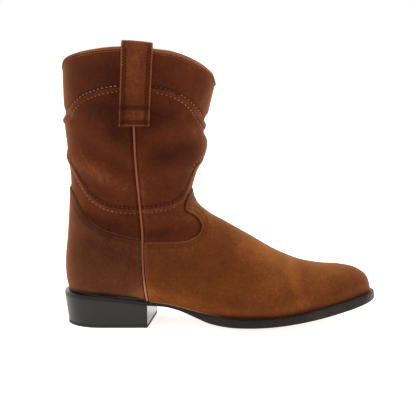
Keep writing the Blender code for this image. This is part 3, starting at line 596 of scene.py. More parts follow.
def walked(points):
    """Distance walked along rows of points."""
    steps = np.linalg.norm(np.diff(points, axis=0), axis=-1)
    return np.r_[0.0, np.cumsum(steps)]


def resample(points, count):
    """Evenly spaced points along a run of points."""
    walk = walked(points)
    even = np.linspace(0.0, walk[-1], count)
    return np.stack([np.interp(even, walk, points[:, k]) for k in range(points.shape[1])], axis=-1)


def side_line(points):
    """Even samples (x, z) along a smooth line through side points."""
    rough = np.array([(p.x, p.z) for p in points])
    run = walked(rough)
    dense = np.linspace(0.0, run[-1], LINE_SAMPLES)
    line = np.stack([curve_through(run, rough[:, k])(dense) for k in (0, 1)], axis=-1)
    return resample(line, LINE_SAMPLES)


def along(line, share):
    """The point at a share of a side line's length."""
    shares = np.linspace(0.0, 1.0, len(line))
    return np.stack([np.interp(share, shares, line[:, k]) for k in (0, 1)], axis=-1)


def beside(line, by):
    """A side line moved to the left of its run by a distance."""
    run = unit(np.gradient(line, axis=0))
    return line + by * np.stack([-run[:, 1], run[:, 0]], axis=-1)


def away_from(line, x, z):
    """Distance of side points from a side line, positive to the left of its run."""
    coarse = along(line, np.linspace(0.0, 1.0, LINE_STEPS))
    nearest = np.full(np.shape(x), np.inf)
    hand = np.ones(np.shape(x))
    for (x0, z0), (x1, z1) in zip(coarse[:-1], coarse[1:]):
        dx, dz = x1 - x0, z1 - z0
        share = np.clip(((x - x0) * dx + (z - z0) * dz) / (dx * dx + dz * dz), 0.0, 1.0)
        away = np.hypot(x - x0 - share * dx, z - z0 - share * dz)
        turn = np.where(dx * (z - z0) - dz * (x - x0) < 0.0, -1.0, 1.0)
        hand = np.where(away < nearest, turn, hand)
        nearest = np.minimum(nearest, away)
    return nearest * hand


FRONT = side_line(FRONT_LINE)
BACK = side_line(BACK_LINE)
COLLAR = side_line(COLLAR_LINE)
SEAM = side_line(SEAM_LINE)
VAMP = side_line(VAMP_LINE)
COUNTER = side_line(COUNTER_LINE)
YOKE = side_line(YOKE_LINE)
OVAL = side_line(OVAL_LINE)
SHAFT_LINES = {"yoke": YOKE, "oval": OVAL}
RIDGE = FRONT[: int(np.argmin(FRONT[:, 0])) + 1][::-1]


def along_sole(field):
    """A curve through one column of the sole's stations."""
    return curve_through([(s.along - 0.5) * SOLE_LENGTH for s in SOLE_STATIONS],
                         [getattr(s, field) for s in SOLE_STATIONS])


def along_sole_shade(field):
    """A curve through one column of the painted shade along the feather."""
    return curve_through([w.x for w in SOLE_SHADE_LINE], [getattr(w, field) for w in SOLE_SHADE_LINE])


width_share, centre_y, ridge_y = along_sole("width"), along_sole("centre_y"), along_sole("ridge_y")
sole_top, sole_edge, sole_crown = along_sole("top_z"), along_sole("edge"), along_sole("crown")
welt_width = along_sole("welt")
sole_shade_depth, sole_dark_band, sole_shade_reach = along_sole_shade("depth"), along_sole_shade("band"), along_sole_shade("reach")
shaft_width = curve_through([g.z for g in SHAFT_GIRTHS], [g.half_width for g in SHAFT_GIRTHS])


def sole_width(x):
    """Half-width of the sole at x, before its ends are rounded off."""
    return width_share(x) * BALL_WIDTH / 2


def sole_half(x):
    """Half-width of the sole at x, rounded off at the heel and the toe."""
    heel = fullness((x - SEAT_BACK) / HEEL_ROUND)
    toe = fullness((SOLE_TIP - x) / TOE_ROUND)
    return sole_width(x) * np.sqrt(np.clip(heel * toe, 0.0, 1.0))


def sole_under(x):
    """Height of the sole's underside along its middle, level with the floor under the ball."""
    return np.maximum(sole_top(x) - sole_edge(x) - sole_crown(x), 0.0)


# Skin of the upper
def back_x(z):
    """The back line's place at a height."""
    return np.interp(z, BACK[:, 1], BACK[:, 0])


def front_x(z):
    """The front line's place at a height."""
    return np.interp(z, FRONT[:, 1], FRONT[:, 0])


def ridge_z(x):
    """Height of the front line over x, carried steeply up under the shaft."""
    return np.interp(x, RIDGE[:, 0], RIDGE[:, 1]) + UNDER_SHAFT_SLOPE * np.maximum(RIDGE[0, 0] - x, 0.0)


def middle_y(x, z):
    """Sideways middle of the upper: the last's ridge over the foot, straight up the shaft."""
    return ridge_y(x) * (1.0 - smooth_step((z - FOOT_TOP_Z) / (SHAFT_FOOT_Z - FOOT_TOP_Z)))


def width_squared(x, z, side):
    """Square of the upper's half-width at a side point: the foot's plan blended into the shaft's girth,
    rounded off at the back line, the toe and the front line. side is -1 outside the foot and +1 inside."""
    rise = smooth_step((z - FOOT_TOP_Z) / (SHAFT_FOOT_Z - FOOT_TOP_Z))
    upright = smooth_step((z - ARCH_TOP_Z) / (UPRIGHT_Z - ARCH_TOP_Z))
    floor = sole_top(x)
    swell = WALL_SWELL * (1.0 - np.exp(-np.maximum(z - floor, 0.0) / WALL_SWELL_HEIGHT))
    foot = sole_width(x) - welt_width(x) + side * (centre_y(x) - ridge_y(x)) + swell
    base = foot + (shaft_width(z) - foot) * rise
    half_length = (front_x(np.maximum(z, SHAFT_FOOT_Z)) - back_x(z)) / 2
    heel_curve = HEEL_CURVE + (half_length - HEEL_CURVE) * rise
    back = fullness((x - back_x(z)) / heel_curve)
    toe = fullness((FRONT[0, 0] + NOSE_LEAD - x) / TOE_ROUND)
    arch = np.maximum(ARCH_SHARE * (ridge_z(x) - floor), ARCH_LEAST)
    power = INSTEP_FULLNESS + (TOE_FULLNESS - INSTEP_FULLNESS) * smooth_step(x / SOLE_TIP)
    over_foot = fullness((ridge_z(x) - z) / arch, power)
    over_shaft = fullness((front_x(z) - x) / half_length, SHAFT_FULLNESS)
    return base**2 * back * toe * (over_foot + (over_shaft - over_foot) * upright)


def fold_height(x, z):
    """How far the slack folds lift or sink the skin: a bell of the distance to each fold's line."""
    total = np.zeros(np.shape(x))
    for fold in FOLDS:
        dx, dz = fold.x1 - fold.x0, fold.z1 - fold.z0
        share = np.clip(((x - fold.x0) * dx + (z - fold.z0) * dz) / (dx * dx + dz * dz), 0.0, 1.0)
        away = np.hypot(x - fold.x0 - share * dx, z - fold.z0 - share * dz)
        total = total + fold.height * bell(away, fold.half_width)
    return total


def skin(x, z, side, lift=0.0):
    """Points of the upper's outer face at side points, moved out by lift along the face's normal. side is
    -1 outside, +1 inside and 0 on the front and back lines."""
    x, z, side = np.broadcast_arrays(np.asarray(x, float), np.asarray(z, float), np.asarray(side, float))
    step = 0.05
    half = np.sqrt(np.maximum(width_squared(x, z, side), 0.0))
    wide_x = (width_squared(x + step, z, side) - width_squared(x - step, z, side)) / (2 * step)
    wide_z = (width_squared(x, z + step, side) - width_squared(x, z - step, side)) / (2 * step)
    lean_x = (middle_y(x + step, z) - middle_y(x - step, z)) / (2 * step)
    lean_z = (middle_y(x, z + step) - middle_y(x, z - step)) / (2 * step)
    y = side * half
    normal = np.stack([-wide_x - 2 * y * lean_x, 2 * y, -wide_z - 2 * y * lean_z], axis=-1)
    normal /= np.maximum(np.linalg.norm(normal, axis=-1, keepdims=True), 1e-9)
    place = np.stack([x, middle_y(x, z) + y, z], axis=-1)
    out = lift + fold_height(x, z)
    return place + normal * np.broadcast_to(out, x.shape)[..., None]


def seam_x(z, side):
    """The side seam at a height; up the shaft the inner seam runs further back than the outer one."""
    back = smooth_step((z - INNER_SEAM_LEAVES_Z) / (STRAP_FOOT_Z - INNER_SEAM_LEAVES_Z))
    return np.interp(z, SEAM[:, 1], SEAM[:, 0]) - INNER_SEAM_BACK * back * (np.asarray(side) > 0)


def seam_foot_z():
    """Height of the side seam's foot on the sole."""
    return float(sole_top(SEAM[0, 0])) + CLEARANCE


def collar_z(x):
    """Height of the collar's edge over x."""
    return np.interp(x, COLLAR[:, 0], COLLAR[:, 1])


def tone_at(x, z):
    """Tone of the nap at side points: painted highlight on fold ridges, painted shade in fold troughs, and
    patches of painted light, painted shade and nap added, each an oval bell, with dark patches that overlap
    held to a limit."""
    total = FOLD_LIGHT * fold_height(x, z)
    for patch in PATCHES:
        turn = math.radians(patch.turn_deg)
        run = (x - patch.x) * math.cos(turn) + (z - patch.z) * math.sin(turn)
        off = (z - patch.z) * math.cos(turn) - (x - patch.x) * math.sin(turn)
        total = total + patch.strength * bell(run, patch.along) * bell(off, patch.across)
    return np.where(total < 0.0, -DARKEST_PATCH * np.tanh(-total / DARKEST_PATCH), total)


# Surfaces of the soft pieces
def puff_share(away, sizes):
    """Fullness of the leather between a seam's two rows: 0 on the rows and beyond, 1 midway."""
    return np.clip(1.0 - (2.0 * away / (sizes.band / MM) - 1.0) ** 2, 0.0, None)


def band_profile(away, sizes):
    """Relief across a double-stitched seam: a puffed band between two rows that are pulled in. away is the
    distance from the first row, counted towards the second."""
    rows = bell(away, SEAM_ROW_REACH) + bell(away - sizes.band / MM, SEAM_ROW_REACH)
    return sizes.band_height / MM * np.sqrt(puff_share(away, sizes)) - sizes.groove / MM * rows


def lobe_share(z):
    """0 at the foot of the vamp's lobe and below, rising to 1 up its side."""
    return smooth_step((z - LOBE_FOOT_Z) / LOBE_FADE)


def over_sole(x, z):
    """Height of side points over the upper's foot on the sole."""
    return z - sole_top(x) - CLEARANCE


def upper_lift(x, z, side, sizes):
    """Relief of the upper's face: the seam bands, the valley that holds the piping, and the crevice where
    the face dips under the edge of the vamp's lobe and tongue."""
    relief = sum(band_profile(-away_from(line, x, z), sizes) for line in SHAFT_LINES.values())
    relief = relief + bells(np.abs(x - seam_x(z, side)), PIPING_VALLEY)
    lobe = lobe_share(z) * smooth_step((front_x(z) - x) / LOBE_TO_FRONT)
    return relief - CREVICE * lobe * bell(away_from(VAMP, x, z), CREVICE_REACH)


def sole_shade(x, z):
    """Painted shade, with some edge stain, on the nap just over the sole: at the heel and from the ball to
    the toe.
    """
    above = np.clip(over_sole(x, z) - sole_dark_band(x), 0.0, None)
    return SOLE_SHADE_DEPTH * sole_shade_depth(x) * bell(above, sole_shade_reach(x))


def upper_tone(x, z, side, sizes):
    """Tone of the upper's nap: painted shade along the pulled-in rows, behind the piping, just over the sole
    and in the crevice at the lobe, and painted highlight on the puffed bands and ahead of the piping."""
    tone = tone_at(x, z) + bells(x - seam_x(z, side), PIPING_SHADE_AND_HIGHLIGHT) - sole_shade(x, z)
    for seam in SEAM_SHADES:
        away = -away_from(SHAFT_LINES[seam.line], x, z)
        tone = tone - seam.dark * bell(away, seam.reach) + PUFF_LIGHT * puff_share(away, sizes)
    return tone - CREVICE_SHADE * lobe_share(z) * bell(away_from(VAMP, x, z), CREVICE_SHADE_REACH)


def panel_tone(edge, x, z, side, pale):
    """Tone of a panel's nap: painted light or shade on its cut edge, set by pale, painted shade along its
    stitch rows, where it meets the sole and behind the piping, apart from its foot, and a painted highlight
    ahead of the piping."""
    at_seam = np.abs(x - seam_x(z, side)) - SEAM_HALF_GAP
    behind = SEAM_DARK * smooth_step((z - SEAM_DARK_Z) / SEAM_DARK_RISE) - SEAM_FOOT_LIGHT
    beside_seam = np.where(x > seam_x(z, side), bells(at_seam, (SEAM_HIGHLIGHT,)),
                           -behind * bell(at_seam, SEAM_DARK_REACH))
    rows = sum(bell(edge - row, PANEL_ROW_SHADE_REACH) for row in PANEL_ROWS)
    cut_edge = pale * bell(edge, CUT_EDGE_REACH)
    return tone_at(x, z) + cut_edge + beside_seam - PANEL_ROW_SHADE * rows - sole_shade(x, z)


def edge_roll(away, sizes):
    """Share of its full height that a panel has at a distance from its edge: a quarter circle."""
    share = np.clip(away / (sizes.roll / MM), 0.0, 1.0)
    return np.sqrt(1.0 - (1.0 - share) ** 2)


def panel_lift(edge, x, z, side, sizes):
    """Height of a panel's face over the upper: full inside, rolled down at its edge, at the side seam and
    where it tucks in over the sole at the waist."""
    at_seam = np.abs(x - seam_x(z, side)) - SEAM_HALF_GAP
    tuck = np.maximum(edge_roll(over_sole(x, z) * TUCK_RATE, sizes), slopes(x, FULL_PANELS))
    rise = edge_roll(np.minimum(edge, at_seam), sizes) * (TUCK_LEAST + (1.0 - TUCK_LEAST) * tuck)
    rows = sum(bell(edge - row, PANEL_ROW_REACH) for row in PANEL_ROWS)
    return CLEARANCE + sizes.overlay / MM * rise - PANEL_ROW_DEPTH * rows


def vamp_lift(x, z, side, sizes):
    """Height of the vamp's face over the upper."""
    return panel_lift(-away_from(VAMP, x, z), x, z, side, sizes)


def counter_lift(x, z, side, sizes):
    """Height of the counter's face over the upper; its line runs from the seam to the back."""
    return panel_lift(away_from(COUNTER, x, z), x, z, side, sizes)


def chord_grid(rows, columns):
    """Side points of the whole upper: rows are chords from the back line to the front line, lowered to the
    sole at the bottom and raised to the collar at the top; columns are spaced as round an oval."""
    level = np.linspace(0.0, 1.0, rows)[:, None]
    up = np.interp(level, (0.0, FOOT_ROWS, 1.0), (0.0, FOOT_REACH, 1.0))
    share = (1.0 - np.cos(np.pi * np.linspace(0.0, 1.0, columns))) / 2
    back = along(BACK, up)
    front = along(FRONT, curve_through((0.0, THROAT_UP, 1.0), (0.0, THROAT_ALONG, 1.0))(up))
    grid = back + (front - back) * share[None, :, None]
    sag = sole_top(grid[0, :, 0]) + CLEARANCE - grid[0, :, 1]
    crown = collar_z(grid[-1, :, 0]) - grid[-1, :, 1]
    grid[..., 1] += sag * (1.0 - smooth_step(up / SAG_END))
    grid[..., 1] += crown * smooth_step((up - CROWN_START) / (1.0 - CROWN_START))
    return grid


def whole_loops(rows, columns):
    """The chord grid on both sides as closed loops, outer side first, with the side of each point."""
    grid = chord_grid(rows, columns)
    both = np.concatenate([grid, grid[:, -2:0:-1]], axis=1)
    side = np.r_[0.0, -np.ones(columns - 2), 0.0, np.ones(columns - 2)]
    return both[..., 0], both[..., 1], np.broadcast_to(side, both.shape[:2])


def leaf_grid(ridge, foot, rows, columns):
    """Side points of a panel that folds over a ridge: chords from the foot of one side over the ridge to the
    foot of the other, closer together at the ridge. Returns x, z and side."""
    ridge, foot = resample(ridge, rows), resample(foot, rows)
    reach = np.linspace(-1.0, 1.0, 2 * columns + 1)
    share = 1.0 - np.cos(np.pi / 2 * np.abs(reach))
    grid = ridge[:, None, :2] + (foot - ridge)[:, None, :2] * share[None, :, None]
    return grid[..., 0], grid[..., 1], np.broadcast_to(np.sign(reach), grid.shape[:2])


def trimmed(x, z, keep):
    """Fits a grid to a line: of each two neighbours on either side of the line, the nearer one moves onto
    it. Returns the moved points and the quads and triangles on the side where keep is positive."""
    points = np.stack([x, z], axis=-1)
    halfway = 0.5001
    best = np.full(x.shape, halfway)
    moved = points.copy()
    for axis, step in ((0, 1), (0, -1), (1, 1), (1, -1)):
        other_keep, other = np.roll(keep, -step, axis), np.roll(points, -step, axis)
        crosses = keep * other_keep < 0.0
        edge = [slice(None), slice(None)]
        edge[axis] = -1 if step > 0 else 0
        crosses[tuple(edge)] = False
        share = np.where(crosses, np.abs(keep) / np.maximum(np.abs(keep) + np.abs(other_keep), 1e-9), 1.0)
        nearer = share < best
        best = np.where(nearer, share, best)
        moved = np.where(nearer[..., None], points + (other - points) * share[..., None], moved)
    keep = np.where(best < halfway, 0.0, keep)
    quads = grid_faces(*x.shape)
    marks = keep.ravel()[quads]
    inside = (marks >= 0.0).sum(axis=1)
    wanted = (marks > 0.0).any(axis=1)
    whole = quads[wanted & (inside == 4)]
    corner = wanted & (inside == 3)
    out = np.argmax(marks[corner] < 0.0, axis=1)
    turn = (out[:, None] + np.arange(1, 4)) % 4
    threes = np.take_along_axis(quads[corner], turn, axis=1)
    return moved[..., 0], moved[..., 1], whole, threes


def grid_faces(rows, columns, closed=False):
    """Quads of a grid of points; closed joins each row's last point to its first."""
    index = np.arange(rows * columns).reshape(rows, columns)
    if closed:
        index = np.concatenate([index, index[:, :1]], axis=1)
    return np.stack([index[:-1, :-1], index[:-1, 1:], index[1:, 1:], index[1:, :-1]], axis=-1).reshape(-1, 4)


# Blender helpers
def mesh_of(name, points, quads, threes=None):
    """A mesh of quads and triangles through points given in millimetres; unused points are left out."""
    threes = np.zeros((0, 3), int) if threes is None else threes
    corners = np.concatenate([quads.ravel(), threes.ravel()])
    used, corners = np.unique(corners, return_inverse=True)
    points = np.asarray(points).reshape(-1, 3)[used]
    starts = np.concatenate([4 * np.arange(len(quads)), 4 * len(quads) + 3 * np.arange(len(threes))])
    made = bpy.data.meshes.new(name)
    made.vertices.add(len(points))
    made.vertices.foreach_set("co", (points * MM).astype(np.float32).ravel())
    made.loops.add(len(corners))
    made.loops.foreach_set("vertex_index", corners.astype(np.int32).ravel())
    made.polygons.add(len(starts))
    made.polygons.foreach_set("loop_start", starts.astype(np.int32))
    made.update(calc_edges=True)
    made.validate()
    made.shade_smooth()
    return made, used


def piece(name, points, quads, finish, threes=None, stands_for=None, tone=None):
    """A new piece of the boot: its mesh, material, the node it stands for and the tone of its nap."""
    data, used = mesh_of(name, points, quads, threes)
    if tone is not None:
        painted = data.attributes.new("tone", "FLOAT", "POINT")
        painted.data.foreach_set("value", np.asarray(tone).ravel()[used].astype(np.float32))
    made = bpy.data.objects.new(name, data)
    bpy.context.scene.collection.objects.link(made)
    data.materials.append(finish)
    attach(made, ROOT)
    if stands_for:
        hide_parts(stands_for)
    return made


def face_rows(made, what):
    """The normals or the middles of a piece's faces, a row for each face."""
    faces = made.data.polygons
    values = np.zeros(3 * len(faces))
    faces.foreach_get(what, values)
    return values.reshape(-1, 3)


def dress_faces(made, finish_index):
    """Gives each face of a piece one of its finishes."""
    made.data.polygons.foreach_set("material_index", finish_index.astype(np.int32))


def thicken(made, thickness, offset=-1.0):
    """Gives a sheet its thickness in millimetres: offset -1 inwards, +1 outwards."""
    shell = made.modifiers.new("Thickness", "SOLIDIFY")
    shell.thickness = thickness * MM
    shell.offset = offset
    shell.use_quality_normals = True


def soften(made, width, segments=2, angle=40.0):
    """Rounds edges sharper than an angle over a width in millimetres."""
    bevel = made.modifiers.new("Soft edges", "BEVEL")
    bevel.width = width * MM
    bevel.segments = segments
    bevel.limit_method = "ANGLE"
    bevel.angle_limit = math.radians(angle)
    bevel.harden_normals = True
    made.data.set_sharp_from_angle(angle=math.radians(angle))


# Materials
def new_material(name):
    """An empty material with its node tree and shader."""
    made = bpy.data.materials.new(name)
    made.use_nodes = True
    return made, made.node_tree, made.node_tree.nodes["Principled BSDF"]


def node(tree, kind, settings=None, **sockets):
    """A node with its settings; a socket is given a value or the output that feeds it."""
    made = tree.nodes.new(kind)
    for key, value in (settings or {}).items():
        setattr(made, key, value)
    for key, value in sockets.items():
        place = int(key[1:]) if key[0] == "_" else key.replace("_", " ")
        feed(tree, made.inputs[place], value)
    return made


def feed(tree, socket, value):
    """Sets a socket's value, or links it to an output."""
    if isinstance(value, bpy.types.NodeSocket):
        tree.links.new(value, socket)
    else:
        socket.default_value = value


def math_node(tree, operation, first, second):
    """A sum, product or other operation on two values."""
    return node(tree, "ShaderNodeMath", {"operation": operation}, _0=first, _1=second).outputs[0]


def noise(tree, scale, detail=3.0, roughness=0.55, stretch=(1.0, 1.0, 1.0)):
    """Noise on the piece's own coordinates; scale is lumps per metre."""
    place = node(tree, "ShaderNodeTexCoord").outputs["Object"]
    turned = node(tree, "ShaderNodeMapping", Vector=place, Scale=stretch).outputs["Vector"]
    return node(tree, "ShaderNodeTexNoise", Vector=turned, Scale=scale, Detail=detail,
                Roughness=roughness).outputs["Fac"]


def added(tree, first, *others):
    """The sum of two or more values."""
    for other in others:
        first = math_node(tree, "ADD", first, other)
    return first


def spread(tree, value, amount):
    """Noise about 0, scaled by an amount."""
    return math_node(tree, "MULTIPLY", math_node(tree, "SUBTRACT", value, 0.5), amount)


def painted_tone(tree):
    """The tone painted on the piece."""
    return node(tree, "ShaderNodeAttribute", {"attribute_name": "tone"}).outputs["Fac"]


def times(shade, amount):
    """A colour made lighter or darker."""
    return tuple(min(1.0, amount * part) for part in shade)


def ramp(tree, value, stops):
    """Colours along a value: stops are (place, colour)."""
    made = node(tree, "ShaderNodeValToRGB", Fac=value)
    elements = made.color_ramp.elements
    while len(elements) < len(stops):
        elements.new(0.5)
    for element, (place, shade) in zip(elements, stops):
        element.position = place
        element.color = (*shade, 1.0)
    return made.outputs["Color"]


def bump(tree, height, depth, strength=1.0):
    """A surface normal from a height; depth is in metres."""
    return node(tree, "ShaderNodeBump", Height=height, Distance=depth, Strength=strength).outputs["Normal"]


def suede_material(name, shadow, body, bloom, nap, rim):
    """Suede: clouds of brushed nap, fine fibres and the piece's painted tone choose between three shades, and
    rim tints the sheen of the nap."""
    made, tree, shader = new_material(name)
    clouds = spread(tree, noise(tree, scale=20.0), amount=0.38)
    strokes = spread(tree, noise(tree, scale=80.0, roughness=0.6, stretch=(0.8, 1.0, 0.8)), amount=0.32)
    tufts = spread(tree, noise(tree, scale=330.0, roughness=0.65), amount=0.40)
    fibres = noise(tree, scale=1500.0, roughness=0.7)
    total = added(tree, clouds, strokes, spread(tree, fibres, amount=0.6), tufts)
    total = added(tree, total, added(tree, painted_tone(tree), 0.5))
    total = added(tree, math_node(tree, "MULTIPLY", total, 0.6), 0.4)
    # The darkest stops carry the painted shade over the sole and in the darkest patches
    deepest_shade, deep_shade = times(shadow, 0.12), times(shadow, 0.62)
    shade = ramp(tree, total, ((0.0, deepest_shade), (0.32, deep_shade), (0.472, shadow), (0.7, body), (0.97, bloom)))
    feed(tree, shader.inputs["Base Color"], shade)
    feed(tree, shader.inputs["Roughness"], added(tree, spread(tree, fibres, amount=0.2), 0.9))
    height = added(tree, fibres, math_node(tree, "MULTIPLY", tufts, 1.2))
    feed(tree, shader.inputs["Normal"], bump(tree, height, nap, strength=0.5))
    shader.inputs["Specular IOR Level"].default_value = 0.03
    shader.inputs["Sheen Weight"].default_value = 0.55
    shader.inputs["Sheen Roughness"].default_value = 0.42
    shader.inputs["Sheen Tint"].default_value = (*rim, 1.0)
    return made


def leather_material(name, body, roughness, grain=900.0, depth=0.00012, gloss=0.5):
    """Smooth leather: a pebbled grain, slight mottling, a satin face and the piece's painted tone, which
    makes it paler."""
    made, tree, shader = new_material(name)
    dark, light = times(body, 0.72), times(body, 1.2)
    warm_white, whiter = (1.0, 0.62, 0.42), 0.24
    pale = tuple((1.0 - whiter) * part + whiter * white for part, white in zip(light, warm_white))
    mottle = spread(tree, noise(tree, scale=60.0, detail=4.0), amount=0.45)
    mottle = added(tree, mottle, added(tree, painted_tone(tree), 0.25))
    shade = ramp(tree, mottle, ((0.05, dark), (0.25, body), (0.45, light), (1.0, pale)))
    feed(tree, shader.inputs["Base Color"], shade)
    place = node(tree, "ShaderNodeTexCoord").outputs["Object"]
    pebbles = node(tree, "ShaderNodeTexVoronoi", {"feature": "SMOOTH_F1"}, Vector=place, Scale=grain)
    feed(tree, shader.inputs["Normal"], bump(tree, pebbles.outputs["Distance"], depth, strength=0.6))
    rubbed = spread(tree, noise(tree, scale=240.0), amount=0.2)
    feed(tree, shader.inputs["Roughness"], added(tree, rubbed, roughness))
    shader.inputs["Specular IOR Level"].default_value = gloss
    return made


def stained_material(name, body, roughness, gloss):
    """Stained and waxed edge of the sole and heel: fine lines along the layers, faint scuffs, satin wax and
    the piece's painted tone, which makes it paler with wear and where a highlight is painted on it."""
    made, tree, shader = new_material(name)
    layers = noise(tree, scale=260.0, roughness=0.6, stretch=(0.12, 0.12, 2.4))
    scuffs = noise(tree, scale=70.0, detail=5.0, roughness=0.65)
    mottle = added(tree, spread(tree, layers, amount=0.35), spread(tree, scuffs, amount=0.35))
    mottle = added(tree, mottle, added(tree, painted_tone(tree), 0.25))
    shade = ramp(tree, mottle, (
        (0.05, times(body, 0.75)), (0.25, body), (0.475, times(body, 1.5)), (1.0, times(body, 8.0))))
    feed(tree, shader.inputs["Base Color"], shade)
    feed(tree, shader.inputs["Roughness"], added(tree, spread(tree, scuffs, amount=0.25), roughness))
    feed(tree, shader.inputs["Normal"], bump(tree, layers, depth=0.0002, strength=0.35))
    shader.inputs["Specular IOR Level"].default_value = gloss
    return made


def thread_material(name, body):
    """Sewing thread: a twist of light and dark along its run."""
    made, tree, shader = new_material(name)
    twist = noise(tree, scale=2600.0, detail=2.0, roughness=0.5)
    shade = ramp(tree, twist, ((0.25, times(body, 0.6)), (0.75, times(body, 1.25))))
    feed(tree, shader.inputs["Base Color"], shade)
    feed(tree, shader.inputs["Normal"], bump(tree, twist, depth=0.0001, strength=0.5))
    feed(tree, shader.inputs["Roughness"], added(tree, spread(tree, twist, amount=0.2), 0.75))
    shader.inputs["Specular IOR Level"].default_value = 0.06
    return made


def finishes(colours, sizes):
    """Every finish of the boot by name; made once and found again after that."""
    def ready(name, make, *shades, **looks):
        return bpy.data.materials.get(name) or make(name, *shades, **looks)

    def suede(name, part, rim):
        shades = [getattr(colours, part + shade) for shade in ("_shadow", "_body", "_bloom")]
        return ready(name, suede_material, *shades, nap=sizes.nap, rim=rim)

    return {
        "shaft": suede("Shaft suede", "shaft", (0.90, 0.39, 0.19)),
        "foot": suede("Foot suede", "foot", (0.86, 0.50, 0.26)),
        "counter": suede("Counter suede", "heel", (0.90, 0.39, 0.19)),
        "binding": suede("Binding suede", "rim", (0.90, 0.44, 0.24)),
        "raw": ready("Raw suede edge", leather_material, colours.raw_edge, roughness=0.85, gloss=0.1),
        "piping": ready("Piping leather", leather_material, colours.piping, roughness=0.5, gloss=0.25),
        "pale": ready("Pale thread", thread_material, colours.pale_thread),
        "dull": ready("Dull thread", thread_material, colours.dull_thread),
        "plum": ready("Plum thread", thread_material, colours.plum_thread),
        "dark": ready("Dark thread", thread_material, colours.dark_thread),
        "brown": ready("Brown thread", thread_material, colours.brown_thread),
        "edge": ready("Sole edge stain", stained_material, colours.edge, roughness=0.36, gloss=0.14),
        "heel": ready("Heel stain", stained_material, colours.heel, roughness=0.38, gloss=0.25),
        "breast": ready("Heel breast lacquer", stained_material, colours.heel, roughness=0.1, gloss=0.6),
        "lift": ready("Top lift rubber", stained_material, colours.lift, roughness=0.6, gloss=0.3),
        "under": ready("Sole leather", leather_material, colours.under, roughness=0.6, grain=500.0),
        "lining": ready("Lining leather", leather_material, colours.lining, roughness=0.7, grain=700.0),
    }


# Sole unit
def even_outline(outer, inner, count):
    """A closed outline in plan, evenly spaced: along the outer side, then back along the inner one."""
    ring = np.concatenate([outer, inner[::-1], outer[:1]])
    return resample(ring, count + 1)[:-1]


def ring_solid(rings):
    """A closed solid through rings of equal, even count: quads between the rings, and over the first and the
    last ring a strip that joins each point to the one across from it. Returns points, quads and triangles."""
    rings = np.asarray(rings)
    rows, count = rings.shape[:2]
    half = np.arange(1, count // 2 - 1)
    strip = np.stack([half, half + 1, count - half - 1, count - half], axis=-1)
    ends = np.array([(0, 1, count - 1), (count // 2 - 1, count // 2, count // 2 + 1)])
    last = (rows - 1) * count
    quads = [grid_faces(rows, count, closed=True)[:, ::-1], strip, strip[:, ::-1] + last]
    return rings.reshape(-1, 3), np.concatenate(quads), np.concatenate([ends, ends[:, ::-1] + last])


def plan_normal(outline):
    """Outward normal in plan of an outline that runs forward on the outer side."""
    run = unit(np.roll(outline, -1, axis=0) - np.roll(outline, 1, axis=0))
    return np.stack([run[:, 1], -run[:, 0]], axis=-1)


def sole_surface():
    """The outsole as rings round its outline: from its flat top round the edge and under towards its spine.
    Heights follow the sole's lines at each point's own x."""
    share = (1.0 - np.cos(np.pi * np.linspace(0.0, 1.0, PLAN_SAMPLES))) / 2
    x = SEAT_BACK + SOLE_LENGTH * share
    outer = np.stack([x, centre_y(x) - sole_half(x)], axis=-1)
    inner = np.stack([x, centre_y(x) + sole_half(x)], axis=-1)
    outline = even_outline(outer, inner, SOLE_AROUND)
    normal = plan_normal(outline)
    spine_x = np.clip(outline[:, 0], SEAT_BACK + HEEL_ROUND, SOLE_TIP - TOE_ROUND)
    spine = np.stack([spine_x, centre_y(spine_x)], axis=-1)
    lean = TOE_LEAN * smooth_step((outline[:, :1] - SOLE_TIP + TOE_LEAN_REACH) / TOE_LEAN_REACH)

    def ring(inset, share, height, level=0.0):
        """A ring set in from the outline, a share of the way to the spine; the toe leans in above level 1."""
        plan = outline - normal * (inset + lean * (1.0 - level))
        plan = plan + (spine - plan) * share
        return np.stack([plan[:, 0], plan[:, 1], height(np.clip(plan[:, 0], SEAT_BACK, SOLE_TIP))], axis=-1)

    def top(drop):
        """Heights a little below the sole's top."""
        return lambda x: sole_top(x) - drop

    def mid(share):
        """Heights at a share of the way down the sole's edge."""
        return lambda x: sole_top(x) - sole_edge(x) * share

    def edge(rise):
        """Heights a little above the foot of the sole's edge."""
        return lambda x: sole_top(x) - sole_edge(x) + rise

    def under(share):
        """Heights at a share of the way from the foot of the edge down to the underside."""
        return lambda x: edge(0.0)(x) + (sole_under(x) - edge(0.0)(x)) * share

    slope = 1.0 - SOLE_FLAT_SHARE
    welt = [ring(2.4, 0.0, top(0.0)), ring(0.7, 0.0, top(0.0)), ring(0.22, 0.0, top(0.16)),
            ring(0.0, 0.0, top(0.6), 0.1)]
    side = [ring(0.05, 0.0, mid(0.32), 0.45), ring(0.05, 0.0, mid(0.5), 0.75), ring(0.05, 0.0, mid(0.7), 1.0)]
    foot = [ring(0.0, 0.0, edge(0.9), 1.0), ring(0.3, 0.0, edge(0.25), 1.0), ring(1.0, 0.0, edge(0.0), 0.9)]
    bottom = [ring(1.4, 0.0, under(0.08), 0.8), ring(1.4, 0.5 * slope, under(0.5), 0.8),
              ring(1.4, slope, under(1.0), 0.8)]
    return ring_solid(welt + side + foot + bottom)


